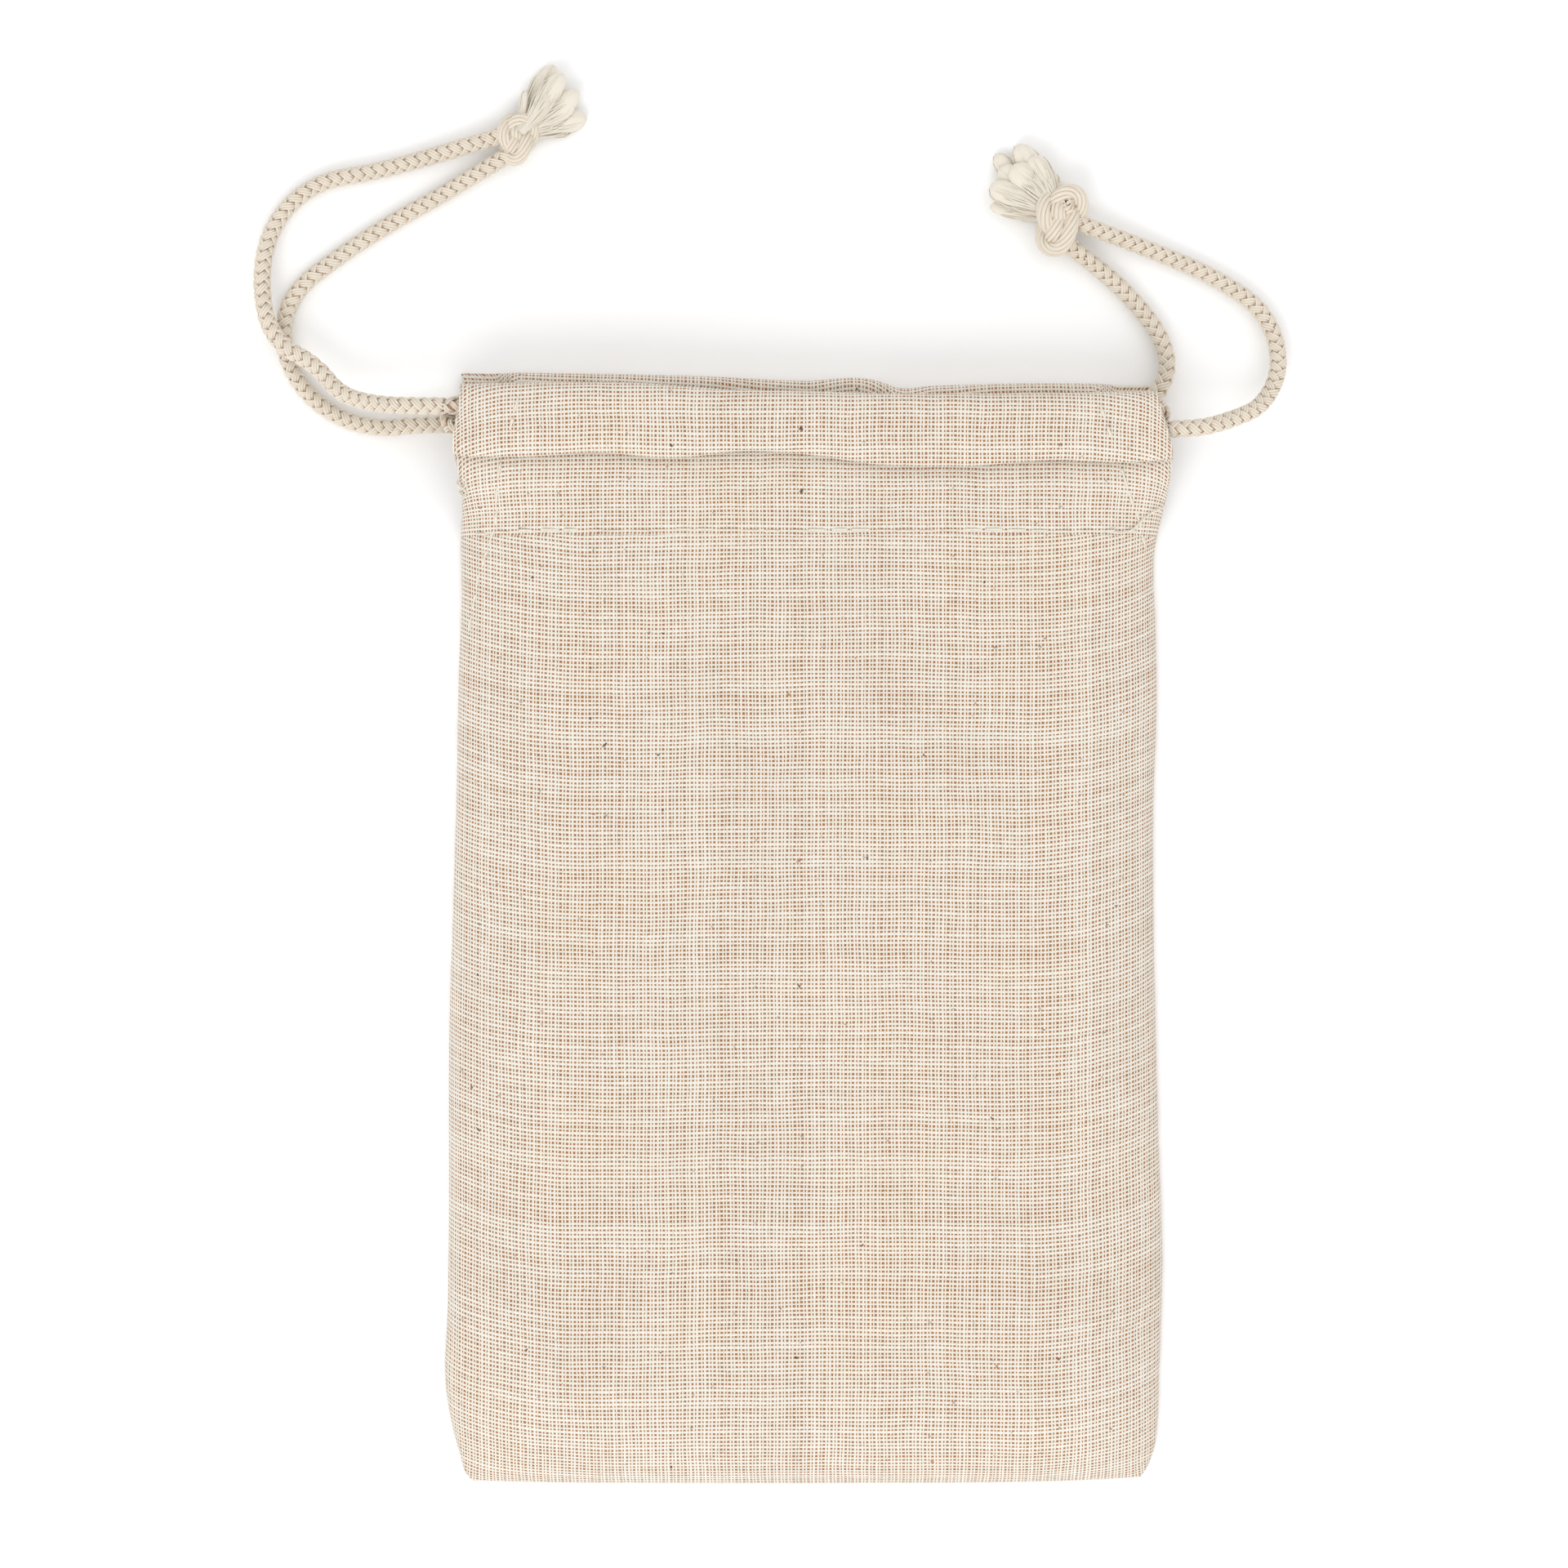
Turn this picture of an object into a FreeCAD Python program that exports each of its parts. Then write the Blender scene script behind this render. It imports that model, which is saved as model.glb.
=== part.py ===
import FreeCAD, Part
import math
import os

# Drawstring gift sack of plain-weave cotton, lying on its back, in millimetres.
# Origin: centre of the sack's footprint, on the surface that it lies on.
# +Y runs up the sack to its mouth, +X to its right-hand side, +Z up from its back to its front.
#
# A strip of cloth is folded at the bottom and sewn up both sides. Its two ends are turned in at the mouth,
# which makes a casing on the front and one on the back. Two braided cords run through both casings.
# The left cord is pulled out to the left and the right cord to the right, and each goes round the far
# corner of the mouth in a bight.

V = FreeCAD.Vector

# ---- sizes that can be set one by one ----
sack_width = 100.8          # finished width, seam to seam
sack_length = 156.8         # bottom fold to the fold at the mouth of the back
cloth = 0.4                 # one layer of cloth
casing_depth = 23.4         # mouth fold of the back to the stitch line at the foot of the casing
front_drop = 1.6            # the front's mouth fold lies this much lower than the back's
mouth_gap = 4.4             # clear height between the two inner layers at the mouth
corner_radius = 3.6         # bottom corners of the sack, in plan
seam_allowance = 8.0        # width of the cloth turned in at each side seam
cord_diameter = 2.5
knot_sizes = {"left": (5.5, 7.9), "right": (7.2, 11.3)}        # width and length of each knot
tassel_lengths = {"left": 8.5, "right": 7.4}
tassel_radii = {"left": (1.6, 2.8), "right": (1.8, 3.2)}       # at the knot and at the frayed end

# ---- clearances ----
cord_clearance = 0.3        # between a cord and the layers of its casing
front_run_gap = 0.7         # between the two cords in the front casing
back_run_gap = 0.7          # between the two cords in the back casing
front_fold_room = 2.35      # between the upper cord and the mouth fold of the front
back_fold_room = 2.65       # between the upper cord and the mouth fold of the back
bight_overhang = 0.8        # how far each bight stands out past the side of the sack
hem_bight_room = 3.0        # between the end of an inner layer and the place where a bight starts
slit_hem_gap = 0.3          # between the end of an inner layer and the turned edge of the side slit

# ---- swell of the front panel ----
side_roll = 20.0            # width of the rounded part at each side
rise_length = 16.0          # length over which the panel rises from the bottom fold
rise_power = 3.0            # roundness of that rise
fold_height = 0.5           # height of the front's edge at the bottom fold

# ---- sewing thread ----
stitch_pitch = 3.1
stitch_length = 2.3
thread_radius = 0.28
loop_thread_radius = 0.2
seam_stitch_inset = 1.6     # side seam's stitches, in from the edge of the sack
seam_play = 0.1             # between the turned-in cloth and the front panel's edge
row_lift = 0.6              # hem stitches, up from the foot of the casing
slit_row_room = 1.6         # between the slit's lowest stitch and the foot of the casing

# ---- values that follow from them ----
half_width = sack_width / 2
mouth_y = sack_length / 2
bottom_y = -sack_length / 2
stitch_y = mouth_y - casing_depth
front_mouth_y = mouth_y - front_drop
cord_radius = cord_diameter / 2

slit_top_z = 2 * cloth                                          # back panel and its turned slit edge
back_cord_z = slit_top_z + cord_clearance + cord_radius
back_hem_z = back_cord_z + cord_radius + cord_clearance         # underside of the back's inner layer
front_hem_z = back_hem_z + cloth + mouth_gap                    # underside of the front's inner layer
front_cord_z = front_hem_z + cloth + cord_clearance + cord_radius
front_slit_z = front_cord_z + cord_radius + cord_clearance      # underside of the front's turned slit edge
front_outer_z = front_slit_z + cloth                            # underside of the front's outer layer
crown_z = front_hem_z + 2 * cloth                               # top of the front panel at the stitch line

upper_front_y = front_mouth_y - cloth - front_fold_room - cord_radius
lower_front_y = upper_front_y - cord_diameter - front_run_gap
upper_back_y = mouth_y - cloth - back_fold_room - cord_radius
lower_back_y = upper_back_y - cord_diameter - back_run_gap
ridge_y = lower_front_y - cord_radius - 1.0                     # foot of the roll over the cords
back_ridge_y = lower_back_y - cord_radius - 1.0
flange = 1.8                                                    # flat strip of a casing at its stitch line

bight_tip_x = half_width + bight_overhang


def bight_radius(front_y, back_y):
    """Radius of the half circle in which a cord goes from the front casing to the back one."""
    return math.hypot(front_y - back_y, front_cord_z - back_cord_z) / 2


def bight_start(front_y, back_y):
    """Distance from the middle of the sack at which a cord leaves its straight run for the bight."""
    return bight_tip_x - cord_radius - bight_radius(front_y, back_y)


left_start_x = bight_start(upper_front_y, lower_back_y)
right_start_x = bight_start(lower_front_y, upper_back_y)
hem_half = min(left_start_x, right_start_x) - hem_bight_room
slit_inner_x = hem_half + slit_hem_gap

# Free strands: steps from the place where the strand leaves its casing, along X and Y, and the height of
# the cord's underside over the table. The first run goes straight out, as high as the strand is in its
# casing. The two strands of a cord end in its knot.
LEFT_FRONT_ROUTE = [(-4.2, 0.0), (-9.6, -0.4, 8.4), (-15.0, 1.2, 6.8), (-18.4, 5.6, 5.7), (-24.8, 9.0, 5.5),
                    (-26.6, 17.9, 2.6), (-24.8, 26.1, 0.6), (-18.9, 31.7, 0.05), (-10.2, 33.1, 0.0),
                    (-1.8, 35.4, 0.2), (7.5, 38.3, 1.0)]
LEFT_BACK_ROUTE = [(-4.6, 0.0), (-9.4, -0.9, 0.2), (-15.2, 0.4, 0.0), (-20.8, 4.6, 0.0), (-23.8, 11.2, 0.0),
                   (-22.4, 18.2, 0.0), (-15.8, 23.4, 0.0), (-7.6, 28.6, 0.0), (0.2, 32.8, 0.1),
                   (8.0, 37.4, 0.7)]
RIGHT_FRONT_ROUTE = [(4.2, 0.0), (9.2, 0.6, 7.9), (14.0, 2.8, 5.2), (16.9, 8.8, 1.8), (14.8, 16.4, 0.1),
                     (8.0, 21.1, 0.0), (-0.8, 24.9, 0.0), (-12.0, 28.9, 1.3)]
RIGHT_BACK_ROUTE = [(2.6, 0.0), (4.6, 2.2, 1.05), (5.3, 5.6, 0.8), (3.8, 9.9, 0.3), (-0.1, 14.7, 0.0),
                    (-4.6, 18.8, 0.0), (-8.4, 21.2, 0.6)]
right_back_inset = 4.4      # the right cord's back strand turns up inside the end of its casing

# Knots: steps from the end of each cord's front strand to the middle of its knot.
KNOT_STEPS = {"left": (2.2, -0.8), "right": (-2.7, 0.3)}
TASSEL_ANGLES = {"left": 45.0, "right": 139.0}                  # degrees from +X, in plan


def solid_from_section(points, x_low, x_high):
    """Prism along X of a closed outline in the YZ plane."""
    wire = Part.makePolygon([V(x_low, y, z) for y, z in points + points[:1]])
    return Part.Face(wire).extrude(V(x_high - x_low, 0, 0))


def layer_section(points, thickness):
    """Outline of a layer of cloth that lies on a line of (y, z) points."""
    return points + [(y, z + thickness) for y, z in reversed(points)]


def plate(x_low, x_high, y_low, y_high, z_low, z_high):
    """Flat piece of cloth."""
    return Part.makeBox(x_high - x_low, y_high - y_low, z_high - z_low, V(x_low, y_low, z_low))


# ---- cloth ----

def half_width_at(rise, half):
    """Half the width of the sack at a distance up from the bottom fold, with its rounded corners."""
    if rise >= corner_radius:
        return half
    return half - corner_radius + math.sqrt(corner_radius ** 2 - (corner_radius - rise) ** 2)


def height_at(rise, top):
    """Height of the front panel over the back panel at a distance up from the bottom fold."""
    if rise >= rise_length:
        return top
    share = (1 - (1 - rise / rise_length) ** rise_power) ** (1 / rise_power)
    return fold_height + (top - fold_height) * share


def arch(y, half, top, base):
    """Closed outline across the sack: straight along the back and the crown, a quarter ellipse at each side."""
    flat = half - side_roll
    sides = []
    for x, way in ((flat, 1), (-flat, -1)):
        centre = V(x, y, base)
        ellipse = Part.Ellipse(centre + V(way * side_roll, 0, 0), centre + V(0, 0, top), centre)
        sides.append(Part.Arc(ellipse, 0, math.pi / 2).toShape())
    crown = Part.makeLine(V(flat, y, base + top), V(-flat, y, base + top))
    back = Part.makeLine(V(-half, y, base), V(half, y, base))
    return Part.Wire(Part.sortEdges([sides[0], crown, sides[1], back])[0])


def swell(inset, end_y):
    """Solid under the front panel's face, set in by a thickness of cloth."""
    rises = [0, 0.5, 1.6, 3.6, 6.5, 10.5, rise_length]
    top = crown_z - cloth - inset
    wires = []
    for rise in rises:
        y = bottom_y + inset + rise
        wires.append(arch(y, half_width_at(rise, half_width - inset), height_at(rise, top), cloth))
    wires.append(arch(end_y, half_width - inset, top, cloth))
    return Part.makeLoft(wires, True, True)


def panel_face_x(height):
    """Distance from the middle of the sack to the front panel's inner face, at a height over the back panel."""
    top = crown_z - 2 * cloth
    return half_width - cloth - side_roll * (1 - math.sqrt(1 - (height / top) ** 2))


def front_panel():
    return swell(0, stitch_y).cut(swell(cloth, stitch_y + 1))


def back_panel():
    """Back of the sack below its casing, flat on the table, with rounded bottom corners."""
    r = corner_radius
    k = r * (1 - math.sqrt(0.5))
    a, b = V(-half_width, stitch_y, 0), V(half_width, stitch_y, 0)
    c, d = V(half_width, bottom_y + r, 0), V(half_width - r, bottom_y, 0)
    e, f = V(-half_width + r, bottom_y, 0), V(-half_width, bottom_y + r, 0)
    right_mid = V(half_width - k, bottom_y + k, 0)
    left_mid = V(-half_width + k, bottom_y + k, 0)
    edges = [Part.makeLine(a, b), Part.makeLine(b, c), Part.Arc(c, right_mid, d).toShape(),
             Part.makeLine(d, e), Part.Arc(e, left_mid, f).toShape(), Part.makeLine(f, a)]
    return Part.Face(Part.Wire(edges)).extrude(V(0, 0, cloth))


def back_casing():
    """Outer layer of the back casing, turned up at the mouth fold."""
    outer = plate(-half_width, half_width, stitch_y, mouth_y, 0, cloth)
    fold = plate(-hem_half, hem_half, mouth_y - cloth, mouth_y, cloth, back_hem_z + cloth)
    return outer.fuse(fold).removeSplitter()


def back_hem():
    """Inner layer of the back casing: from the mouth fold down over the cords to the stitch line."""
    line = [(stitch_y, cloth), (stitch_y + flange, cloth), (back_ridge_y, back_hem_z),
            (mouth_y - cloth, back_hem_z)]
    return solid_from_section(layer_section(line, cloth), -hem_half, hem_half)


def front_hem():
    """Inner layer of the front casing, flat from its stitch line to the mouth fold."""
    return plate(-hem_half, hem_half, stitch_y, front_mouth_y - cloth, front_hem_z, front_hem_z + cloth)


def casing_line(drop=0.0):
    """Underside of the front casing's outer layer, or of a layer that lies lower by drop."""
    return [(stitch_y, front_hem_z + cloth - drop), (stitch_y + flange, front_hem_z + cloth - drop),
            (ridge_y, front_outer_z - drop), (front_mouth_y - cloth, front_outer_z - drop)]


def casing_top(y):
    """Height of the front casing's outer face."""
    points = casing_line()
    for (y0, z0), (y1, z1) in zip(points, points[1:]):
        if y <= y1:
            return z0 + (z1 - z0) * max(0.0, (y - y0) / (y1 - y0)) + cloth
    return front_outer_z + cloth


def front_casing():
    """Outer layer of the front casing, rolled over the cords and turned down at the mouth fold."""
    outer = solid_from_section(layer_section(casing_line(), cloth), -half_width, half_width)
    fold = plate(-hem_half, hem_half, front_mouth_y - cloth, front_mouth_y, front_hem_z, front_outer_z + cloth)
    return outer.fuse(fold).removeSplitter()


def front_slit_hem(side):
    """Edge of the front casing turned under along the side slit."""
    x_low, x_high = sorted((side * slit_inner_x, side * half_width))
    line = casing_line(cloth)[1:]
    return solid_from_section(layer_section(line, cloth), x_low, x_high)


def back_slit_hem(side):
    """Edge of the back casing turned in along the side slit."""
    x_low, x_high = sorted((side * slit_inner_x, side * half_width))
    return plate(x_low, x_high, stitch_y + flange, mouth_y, cloth, 2 * cloth)


def seam_strip(side):
    """Two layers of cloth turned in at a side seam, lying on the back panel inside the sack."""
    x_low, x_high = sorted((side * (half_width - seam_allowance), side * (panel_face_x(2 * cloth) - seam_play)))
    return plate(x_low, x_high, bottom_y + corner_radius + 2, stitch_y - 1, cloth, 3 * cloth)


# ---- sewing ----

def stitch(start, end, normal):
    """One stitch: half a round thread, flat side on the cloth."""
    along = end - start
    middle = (start + end) / 2
    direction = along / along.Length
    first = middle - direction * (stitch_length / 2)
    side = normal.cross(direction)
    bar = Part.makeCylinder(thread_radius, stitch_length, V(0, 0, 0), V(0, 0, 1), 180)
    place = FreeCAD.Matrix(side.x, normal.x, direction.x, first.x,
                           side.y, normal.y, direction.y, first.y,
                           side.z, normal.z, direction.z, first.z,
                           0, 0, 0, 1)
    return bar.transformed(place)


def straight_row(y, z, half):
    """Row of stitches across the sack."""
    count = int(2 * half / stitch_pitch)
    first = -count * stitch_pitch / 2
    ends = [V(first + n * stitch_pitch, y, z) for n in range(count + 1)]
    return Part.makeCompound([stitch(a, b, V(0, 0, 1)) for a, b in zip(ends, ends[1:])])


def slit_row(side):
    """Stitches down the turned edge of a side slit, on the front casing's outer face."""
    top_x = slit_inner_x - 0.8
    foot_x = (slit_inner_x + half_width) / 2
    y_high, y_low = front_mouth_y - 1.2, stitch_y + slit_row_room
    count = int((y_high - y_low) / stitch_pitch)
    bars = []
    for n in range(count):
        y_start, y_end = (y_high - (n + k) * (y_high - y_low) / count for k in (0, 1))
        shares = [(y_high - y) / (y_high - y_low) for y in (y_start, y_end)]
        xs = [side * (top_x + (foot_x - top_x) * share) for share in shares]
        y_mid = (y_start + y_end) / 2
        slope = (casing_top(y_mid + 0.2) - casing_top(y_mid - 0.2)) / 0.4
        z_mid = casing_top(y_mid)
        start = V(xs[0], y_start, z_mid + slope * (y_start - y_mid))
        end = V(xs[1], y_end, z_mid + slope * (y_end - y_mid))
        normal = V(0, -slope, 1).normalize()
        bars.append(stitch(start, end, square_to(normal, end - start)))
    return Part.makeCompound(bars)


def square_to(normal, along):
    """The normal, made square to the direction of a stitch."""
    direction = V(along).normalize()
    return (normal - direction * normal.dot(direction)).normalize()


def seam_row(side):
    """Stitches of a side seam, on the turned-in cloth inside the sack."""
    x = side * (half_width - seam_stitch_inset)
    y_low, y_high = bottom_y + corner_radius + 3, stitch_y - 2
    count = int((y_high - y_low) / stitch_pitch)
    ends = [V(x, y_low + n * stitch_pitch, 3 * cloth) for n in range(count + 1)]
    return Part.makeCompound([stitch(a, b, V(0, 0, 1)) for a, b in zip(ends, ends[1:])])


def loose_thread():
    """Free end of the slit's thread, lying over the foot of the right-hand slit."""
    start = V(half_width - 7.2, stitch_y + row_lift + 2.2 * thread_radius, crown_z + thread_radius)
    points = [start, start + V(3.4, 0.7, 0.5), start + V(6.6, 2.2, 1.6)]
    return tube(points, thread_radius)[0]


def thread_loops():
    """Two small loops of thread through the left-hand edge of the front casing."""
    loops = []
    for y, size in ((stitch_y + 7.4, 0.6), (stitch_y + 6.1, 0.4)):
        middle = V(-half_width + 0.1, y, casing_top(y) - cloth / 2)
        loops.append(Part.makeTorus(size, loop_thread_radius, middle))
    return Part.makeCompound(loops)


# ---- cords ----

def tube(points, radius):
    """Round tube along straight runs joined by tangent arcs. Gives the tube, its radii and its length."""
    edges = []
    radii = []
    last = points[0]
    for before, corner, after in zip(points, points[1:], points[2:]):
        into, out = corner - before, after - corner
        turn = into.getAngle(out)
        reach = 0.45 * min(into.Length, out.Length)
        start = corner - V(into).normalize() * reach
        end = corner + V(out).normalize() * reach
        bend = reach / math.tan(turn / 2)
        inward = (V(out).normalize() - V(into).normalize()).normalize()
        middle = corner + inward * (bend / math.cos(turn / 2) - bend)
        edges += [Part.LineSegment(last, start).toShape(), Part.Arc(start, middle, end).toShape()]
        radii.append(bend)
        last = end
    edges.append(Part.LineSegment(last, points[-1]).toShape())
    path = Part.Wire(edges)
    ring = Part.Wire(Part.makeCircle(radius, points[0], points[1] - points[0]))
    return path.makePipeShell([ring], True, False), radii, path.Length


def report(name, shape, radii, length, radius):
    """Print a cord's bends, and its volume against its section times its length."""
    share = shape.Volume / (math.pi * radius ** 2 * length)
    bends = ", ".join("%.1f" % r for r in radii)
    print("%s: length %.1f, volume share %.4f, radii %s" % (name, length, share, bends))


def strand_points(exit_point, route):
    """Places of a free strand's points."""
    points = [exit_point, exit_point + V(*route[0], 0)]
    for dx, dy, lift in route[1:]:
        points.append(V(exit_point.x + dx, exit_point.y + dy, lift + cord_radius))
    return points


def casing_cord(side, front_y, back_y, start_x, front_end_x, back_end_x):
    """The stretch of a cord that its casings hold, with the bight at the far side."""
    far = -side
    front_turn = V(far * start_x, front_y, front_cord_z)
    back_turn = V(far * start_x, back_y, back_cord_z)
    tip = (front_turn + back_turn) / 2 + V(far * bight_radius(front_y, back_y), 0, 0)
    front_end = V(side * front_end_x, front_y, front_cord_z)
    back_end = V(side * back_end_x, back_y, back_cord_z)
    edges = [Part.LineSegment(front_end, front_turn).toShape(), Part.Arc(front_turn, tip, back_turn).toShape(),
             Part.LineSegment(back_turn, back_end).toShape()]
    path = Part.Wire(edges)
    ring = Part.Wire(Part.makeCircle(cord_radius, front_end, V(far, 0, 0)))
    return path.makePipeShell([ring], True, False), [bight_radius(front_y, back_y)], path.Length


def knot(name, centre):
    """Plain body of a knot, longer along Y than it is wide."""
    width, length = knot_sizes[name]
    ellipse = Part.Ellipse(V(0, 0, 0), length / 2, width / 2)
    half = Part.Arc(ellipse, 0, math.pi).toShape()
    axis = Part.makeLine(V(-length / 2, 0, 0), V(length / 2, 0, 0))
    body = Part.Face(Part.Wire([half, axis])).revolve(V(0, 0, 0), V(1, 0, 0), 360)
    return body.transformed(FreeCAD.Placement(centre, FreeCAD.Rotation(V(0, 0, 1), 90)).toMatrix())


def tassel(name, centre):
    """Plain body of the frayed ends, from the middle of the knot outwards, lying on the table."""
    near, far = tassel_radii[name]
    width, length = knot_sizes[name]
    angle = math.radians(TASSEL_ANGLES[name])
    direction = V(math.cos(angle), math.sin(angle), 0)
    start = V(centre.x, centre.y, 0) + direction * (width + length) * 0.22 + V(0, 0, far + 0.05)
    return Part.makeCone(near, far, tassel_lengths[name], start, direction)


def drawcord(name, side, front_y, back_y, start_x, front_route, back_route, back_inset):
    """All pieces of one drawcord, by node name."""
    front_exit = V(side * half_width, front_y, front_cord_z)
    back_exit = V(side * (half_width - back_inset), back_y, back_cord_z)
    run = casing_cord(side, front_y, back_y, start_x, half_width, half_width - back_inset)
    front = tube(strand_points(front_exit, front_route), cord_radius)
    back = tube(strand_points(back_exit, back_route), cord_radius)
    pieces = {name + "_casing_cord": run, name + "_front_strand": front, name + "_back_strand": back}
    for node, (shape, radii, length) in pieces.items():
        report(node, shape, radii, length, cord_radius)
    shapes = {node: piece[0] for node, piece in pieces.items()}
    end = strand_points(front_exit, front_route)[-1]
    step = KNOT_STEPS[name]
    centre = V(end.x + step[0], end.y + step[1], knot_sizes[name][0] / 2)
    shapes[name + "_knot"] = knot(name, centre)
    shapes[name + "_tassel"] = tassel(name, centre)
    return shapes


def main():
    nodes = {
        "back_panel": back_panel(),
        "front_panel": front_panel(),
        "back_casing": back_casing(),
        "front_casing": front_casing(),
        "back_hem": back_hem(),
        "front_hem": front_hem(),
        "front_hem_stitching": straight_row(stitch_y + row_lift, crown_z, half_width - 3),
        "back_hem_stitching": straight_row(stitch_y + row_lift, 2 * cloth, hem_half - 1),
        "loose_thread_end": loose_thread(),
        "thread_loops": thread_loops(),
    }
    for name, side in (("left", -1), ("right", 1)):
        nodes[name + "_seam_allowance"] = seam_strip(side)
        nodes[name + "_seam_stitching"] = seam_row(side)
        nodes["front_" + name + "_slit_hem"] = front_slit_hem(side)
        nodes["back_" + name + "_slit_hem"] = back_slit_hem(side)
        nodes[name + "_slit_stitching"] = slit_row(side)
    nodes.update(drawcord("left", -1, upper_front_y, lower_back_y, left_start_x,
                          LEFT_FRONT_ROUTE, LEFT_BACK_ROUTE, 0.0))
    nodes.update(drawcord("right", 1, lower_front_y, upper_back_y, right_start_x,
                          RIGHT_FRONT_ROUTE, RIGHT_BACK_ROUTE, right_back_inset))
    os.makedirs("parts", exist_ok=True)
    for node, shape in nodes.items():
        if not shape.isValid():
            raise ValueError(node + " is not a valid solid")
        shape.exportStep("parts/" + node + ".step")


main()
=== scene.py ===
import math

import bpy
import numpy as np
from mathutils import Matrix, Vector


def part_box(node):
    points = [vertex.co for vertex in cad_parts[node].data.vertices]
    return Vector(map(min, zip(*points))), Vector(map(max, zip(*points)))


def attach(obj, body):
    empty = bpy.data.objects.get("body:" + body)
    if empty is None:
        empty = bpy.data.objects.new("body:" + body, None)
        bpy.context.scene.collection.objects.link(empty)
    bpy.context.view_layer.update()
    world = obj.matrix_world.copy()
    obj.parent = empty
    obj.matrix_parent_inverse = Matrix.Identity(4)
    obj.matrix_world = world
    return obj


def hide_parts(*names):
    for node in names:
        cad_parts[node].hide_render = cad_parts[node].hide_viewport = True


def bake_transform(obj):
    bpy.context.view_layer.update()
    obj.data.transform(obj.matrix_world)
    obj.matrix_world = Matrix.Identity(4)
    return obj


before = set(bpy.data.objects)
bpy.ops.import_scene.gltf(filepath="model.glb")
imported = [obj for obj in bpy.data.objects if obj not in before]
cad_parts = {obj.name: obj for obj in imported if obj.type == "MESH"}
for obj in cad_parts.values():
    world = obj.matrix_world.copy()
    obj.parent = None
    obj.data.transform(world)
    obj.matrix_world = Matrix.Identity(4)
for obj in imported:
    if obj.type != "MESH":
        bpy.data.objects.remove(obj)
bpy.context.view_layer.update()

bl_info = {
    "name": "Drawstring gift sack",
    "version": (1, 0, 0),
    "blender": (4, 5, 0),
    "location": "3D View > Sidebar > Gift Sack",
    "description": "Small cotton gift sack with a casing at its mouth and two braided drawcords",
    "category": "Add Mesh",
}

# Lengths in this file are millimetres until a mesh is made. Each sheet is worked out along the middle of its
# thickness. The sack lies on its back: +Y runs up to its mouth, +Z from its back to its front.

MM = 0.001


def box(node):
    """Lowest and highest corners of a node at rest, in millimetres."""
    low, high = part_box(node)
    return np.array(low) / MM, np.array(high) / MM


# ---- places that come from the frame ----
HALF_WIDTH, STITCH_Y, CLOTH = box("back_panel")[1]
BOTTOM_Y = box("back_panel")[0][1]
CROWN_Z = box("front_panel")[1][2]
ROLL_TOP_Z = box("front_casing")[1][2]
BACK_HEM_Z = box("back_hem")[1][2]
FRONT_HEM_Z = box("front_hem")[0][2]
HEM_HALF = box("back_hem")[1][0]
BODIES = {"left": "left_drawcord", "right": "right_drawcord"}
SIDES = {"left": -1, "right": 1}

# ---- shape of the cloth ----
SIDE_ROLL = 20.0            # width of the rounded part at each side
BOTTOM_ROLL = 16.0          # length over which the front rises from the bottom fold
EDGE_Z = 0.42               # middle of the front layer where it meets the back
BOTTOM_EASE = 20.0          # length over which the bottom fold's waves die out
ROUNDED_ROWS = 24           # rows of points on a rounded part
CREASE_EDGE = 8.0           # how far in from the seam the turned-in cloth ends
CREASE_DEPTH, CREASE_WIDTH = 0.16, 0.45
ROW_RISE = 0.6              # how far the hem's row of stitches lies above the line where the casing starts
PUCKER_DEPTH, PUCKER_WIDTH = 0.13, 0.9
BACK_LAYER_Z = 0.2          # middle of the back's cloth where it lies flat
LAST_OUTER_STEP = 10.5      # step of the front casing's section up to which it can be seen from above

# How far the cloth's edge stands out from the straight side of the sack, going up the side.
EDGE_STEPS = {
    "left": [(-78.4, -3.6), (-77.2, -2.6), (-75.0, -1.9), (-71.0, -0.8), (-64.0, 0.3), (-55.0, 0.0), (-42.0, -0.2),
             (-13.0, -0.3), (0.0, -0.7), (15.6, -1.2), (38.7, -1.7), (46.8, -2.0), (55.0, -1.9), (60.0, -2.3),
             (64.5, -1.9), (67.5, -1.3), (71.0, -1.9), (75.0, -2.4), (78.4, -1.7)],
    "right": [(-78.4, -3.8), (-77.4, -2.9), (-74.6, -1.5), (-70.0, -0.8), (-62.0, -0.5), (-48.0, -0.1),
              (-30.6, -0.6), (-7.5, -1.2), (15.6, -1.4), (33.0, -0.9), (45.7, -1.2), (51.4, -1.4), (55.0, -0.9),
              (58.5, -0.2), (63.5, 0.5), (67.0, 0.5), (70.5, -0.5), (74.5, -1.6), (78.4, -1.9)],
}
# Bottom fold, the foot and the top of the front's roll, and the back's fold, each going from left to right.
BOTTOM_STEPS = [(-50.4, 0.3), (-38.8, 0.1), (-23.8, 0.0), (7.4, 0.0), (32.3, 0.15), (45.0, 0.5), (50.4, 0.8)]
ROLL_FOOT = [(-50.4, 66.3), (-40.0, 66.2), (-30.0, 66.8), (-19.8, 66.0), (-7.6, 67.0), (-0.7, 66.6), (11.0, 65.0),
             (20.6, 64.8), (34.7, 65.7), (43.6, 65.4), (50.4, 65.8)]
ROLL_CREST = [(-50.4, 75.7), (-38.0, 75.9), (-24.0, 75.8), (-18.0, 75.4), (-11.0, 74.9), (0.0, 74.7), (8.0, 74.4),
              (20.0, 74.35), (34.0, 74.4), (50.4, 74.7)]
BACK_FOLD = [(-50.4, 78.1), (-32.0, 77.9), (-14.6, 77.5), (-0.7, 76.9), (11.2, 76.7), (12.8, 76.1), (19.0, 76.2),
             (30.5, 76.5), (50.4, 76.4)]

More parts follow.
